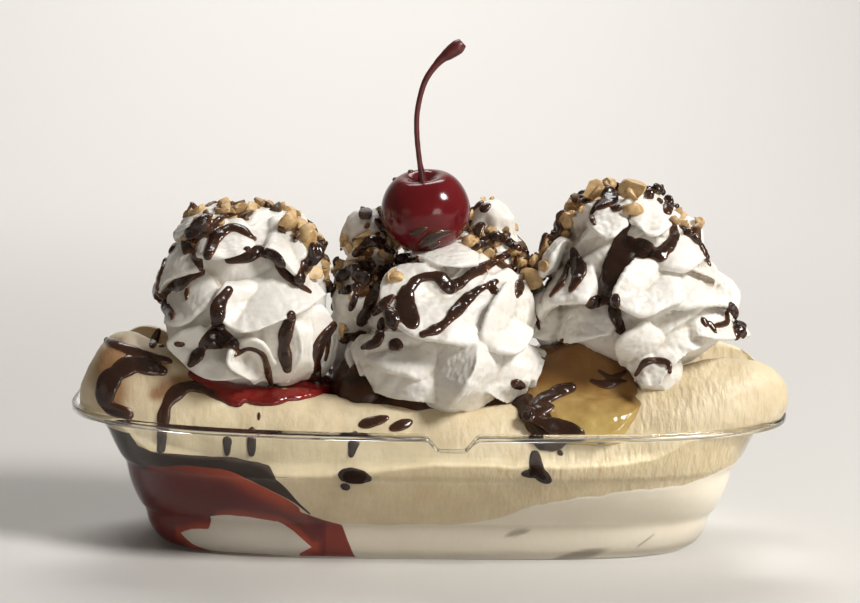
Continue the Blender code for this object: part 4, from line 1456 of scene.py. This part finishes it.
def poolsOnTop(tree, seed):
    rng = random.Random(seed)
    beads = []
    for (x, y, low, _), count in zip(nuts["tops"], (15, 16, 12)):
        for _ in range(count):
            turn, out = rng.uniform(0, 2 * math.pi), 22 * math.sqrt(rng.random())
            at = Vector((x + out * math.cos(turn), y + out * math.sin(turn), 0))
            way = rng.uniform(0, 2 * math.pi)
            for step in range(rng.randrange(4, 30)):
                way += rng.uniform(-0.35, 0.35)
                at += Vector((math.cos(way), math.sin(way), 0)) * 0.45
                spot, normal = dropOn(tree, at.x, at.y)
                if spot is None or spot.z < low * mm or spot.y < (y - 7) * mm:
                    break
                beads.append((spot, normal, 1.3 + 0.6 * math.sin(step * 0.3 + turn)))
    return beads


def pourSyrup(name, beads, tree, material, thickness=(0.40, 0.26), grain=0.36):
    points, faces = [], []
    for spot, normal, r in beads:
        turn = np.array(normal.to_track_quat("Z", "Y").to_matrix())
        scaled = beadPoints * np.array([r, r, thickness[0] + thickness[1] * r]) * mm
        start = len(points)
        points += [tuple(p) for p in scaled @ turn.T + np.array(spot)]
        faces += [tuple(start + v for v in face) for face in beadFaces]
    piece = newPiece(name, meshFrom(name, points, faces))
    fuse(piece, grain, 3)
    film = [min(1.0, tree.find_nearest(Vector(place))[3] / (1.3 * mm)) for place in corners(piece.data)]
    mark = piece.data.attributes.new("film", "FLOAT", "POINT")
    mark.data.foreach_set("value", film)
    piece.data.materials.append(material)
    piece.data.shade_smooth()
    return piece


def soak(piece, strokes):
    beads = beadsAlong(strokes, treeOf([piece]), spread=1.0)
    spots = np.array([spot for spot, normal, r in beads])
    reach = np.array([r for spot, normal, r in beads]) * mm
    away = np.linalg.norm(corners(piece.data)[:, None] - spots[None], axis=2) / reach[None]
    mark = piece.data.attributes.new("stain", "FLOAT", "POINT")
    mark.data.foreach_set("value", np.clip(1.15 * np.exp(-((away.min(axis=1) / 1.45) ** 2)), 0, 0.9))


def darkenAtWall(piece, material, top=36.5):
    piece.data.materials.append(material)
    for face in piece.data.polygons:
        if face.center.z < top * mm:
            face.material_index = 1


syrup, tree, shader, tone = mottledFinish(
    "syrup", (0.034, 0.014, 0.008), (0.016, 0.007, 0.004), 4.0, 0.2, (2.5, 0.10, 0.7, 0.02), 0.18, 0.05)
film = addNode(tree, "ShaderNodeAttribute", attribute_name="film")
thin = addNode(tree, "ShaderNodeValToRGB")
thin.color_ramp.elements[0].color = (0.26, 0.09, 0.025, 1)
thin.color_ramp.elements[1].color = (0.026, 0.011, 0.007, 1)
thin.color_ramp.elements[1].position = 0.7
thin.color_ramp.elements.new(0.3).color = (0.080, 0.028, 0.010, 1)
mixed = addNode(tree, "ShaderNodeMix", {0: 0.35}, data_type="RGBA")
tree.links.new(film.outputs["Fac"], thin.inputs["Fac"])
tree.links.new(thin.outputs["Color"], mixed.inputs[6])
tree.links.new(tone.outputs["Color"], mixed.inputs[7])
tree.links.new(mixed.outputs[2], shader.inputs["Base Color"])

frontTree = treeOf([*creams, maraschino, choppedNuts, bananaFront, bananaBack, berry, fudge, pineapple])
syrupAtWall = mottledFinish(
    "syrupAtWall", (0.030, 0.015, 0.009), (0.014, 0.008, 0.006), 3.0, 0.2, (3.0, 0.05, 0.8, 0.01), 0.6, 0.05,
    Specular_IOR_Level=0.05)[0]
for side in ("left", "centre", "right", "banana"):
    flat = side == "banana"
    beads = beadsAlong(drizzle[side], frontTree, spread=1.12 if flat else 1.28)
    poured = pourSyrup(f"syrup_{side}", beads, frontTree, syrup, (0.45, 0.18) if flat else (0.42, 0.27))
    if flat:
        darkenAtWall(poured, syrupAtWall)
    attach(poured, "root")
    print("syrup", side, len(poured.data.polygons))
behind = poolsOnTop(frontTree, 21)
for side, middle in (("left", -53), ("centre", 3), ("right", 55)):
    mirrored = [(r, [(2 * middle - x, z) for x, z in stroke]) for r, stroke in drizzle[side] if stroke[0][1] > 58]
    behind += beadsAlong(mirrored, frontTree, behind=True)
poured = pourSyrup("syrup_behind", behind, frontTree, syrup)
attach(poured, "root")
soak(bananaFront, drizzle["soaked"])
spill = pourSyrup("strawberry_spill", beadsAlong(drizzle["strawberry"], treeOf([bananaFront, berry, fudge])),
                  frontTree, strawberrySauce, (0.5, 0.35))
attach(spill, "root")
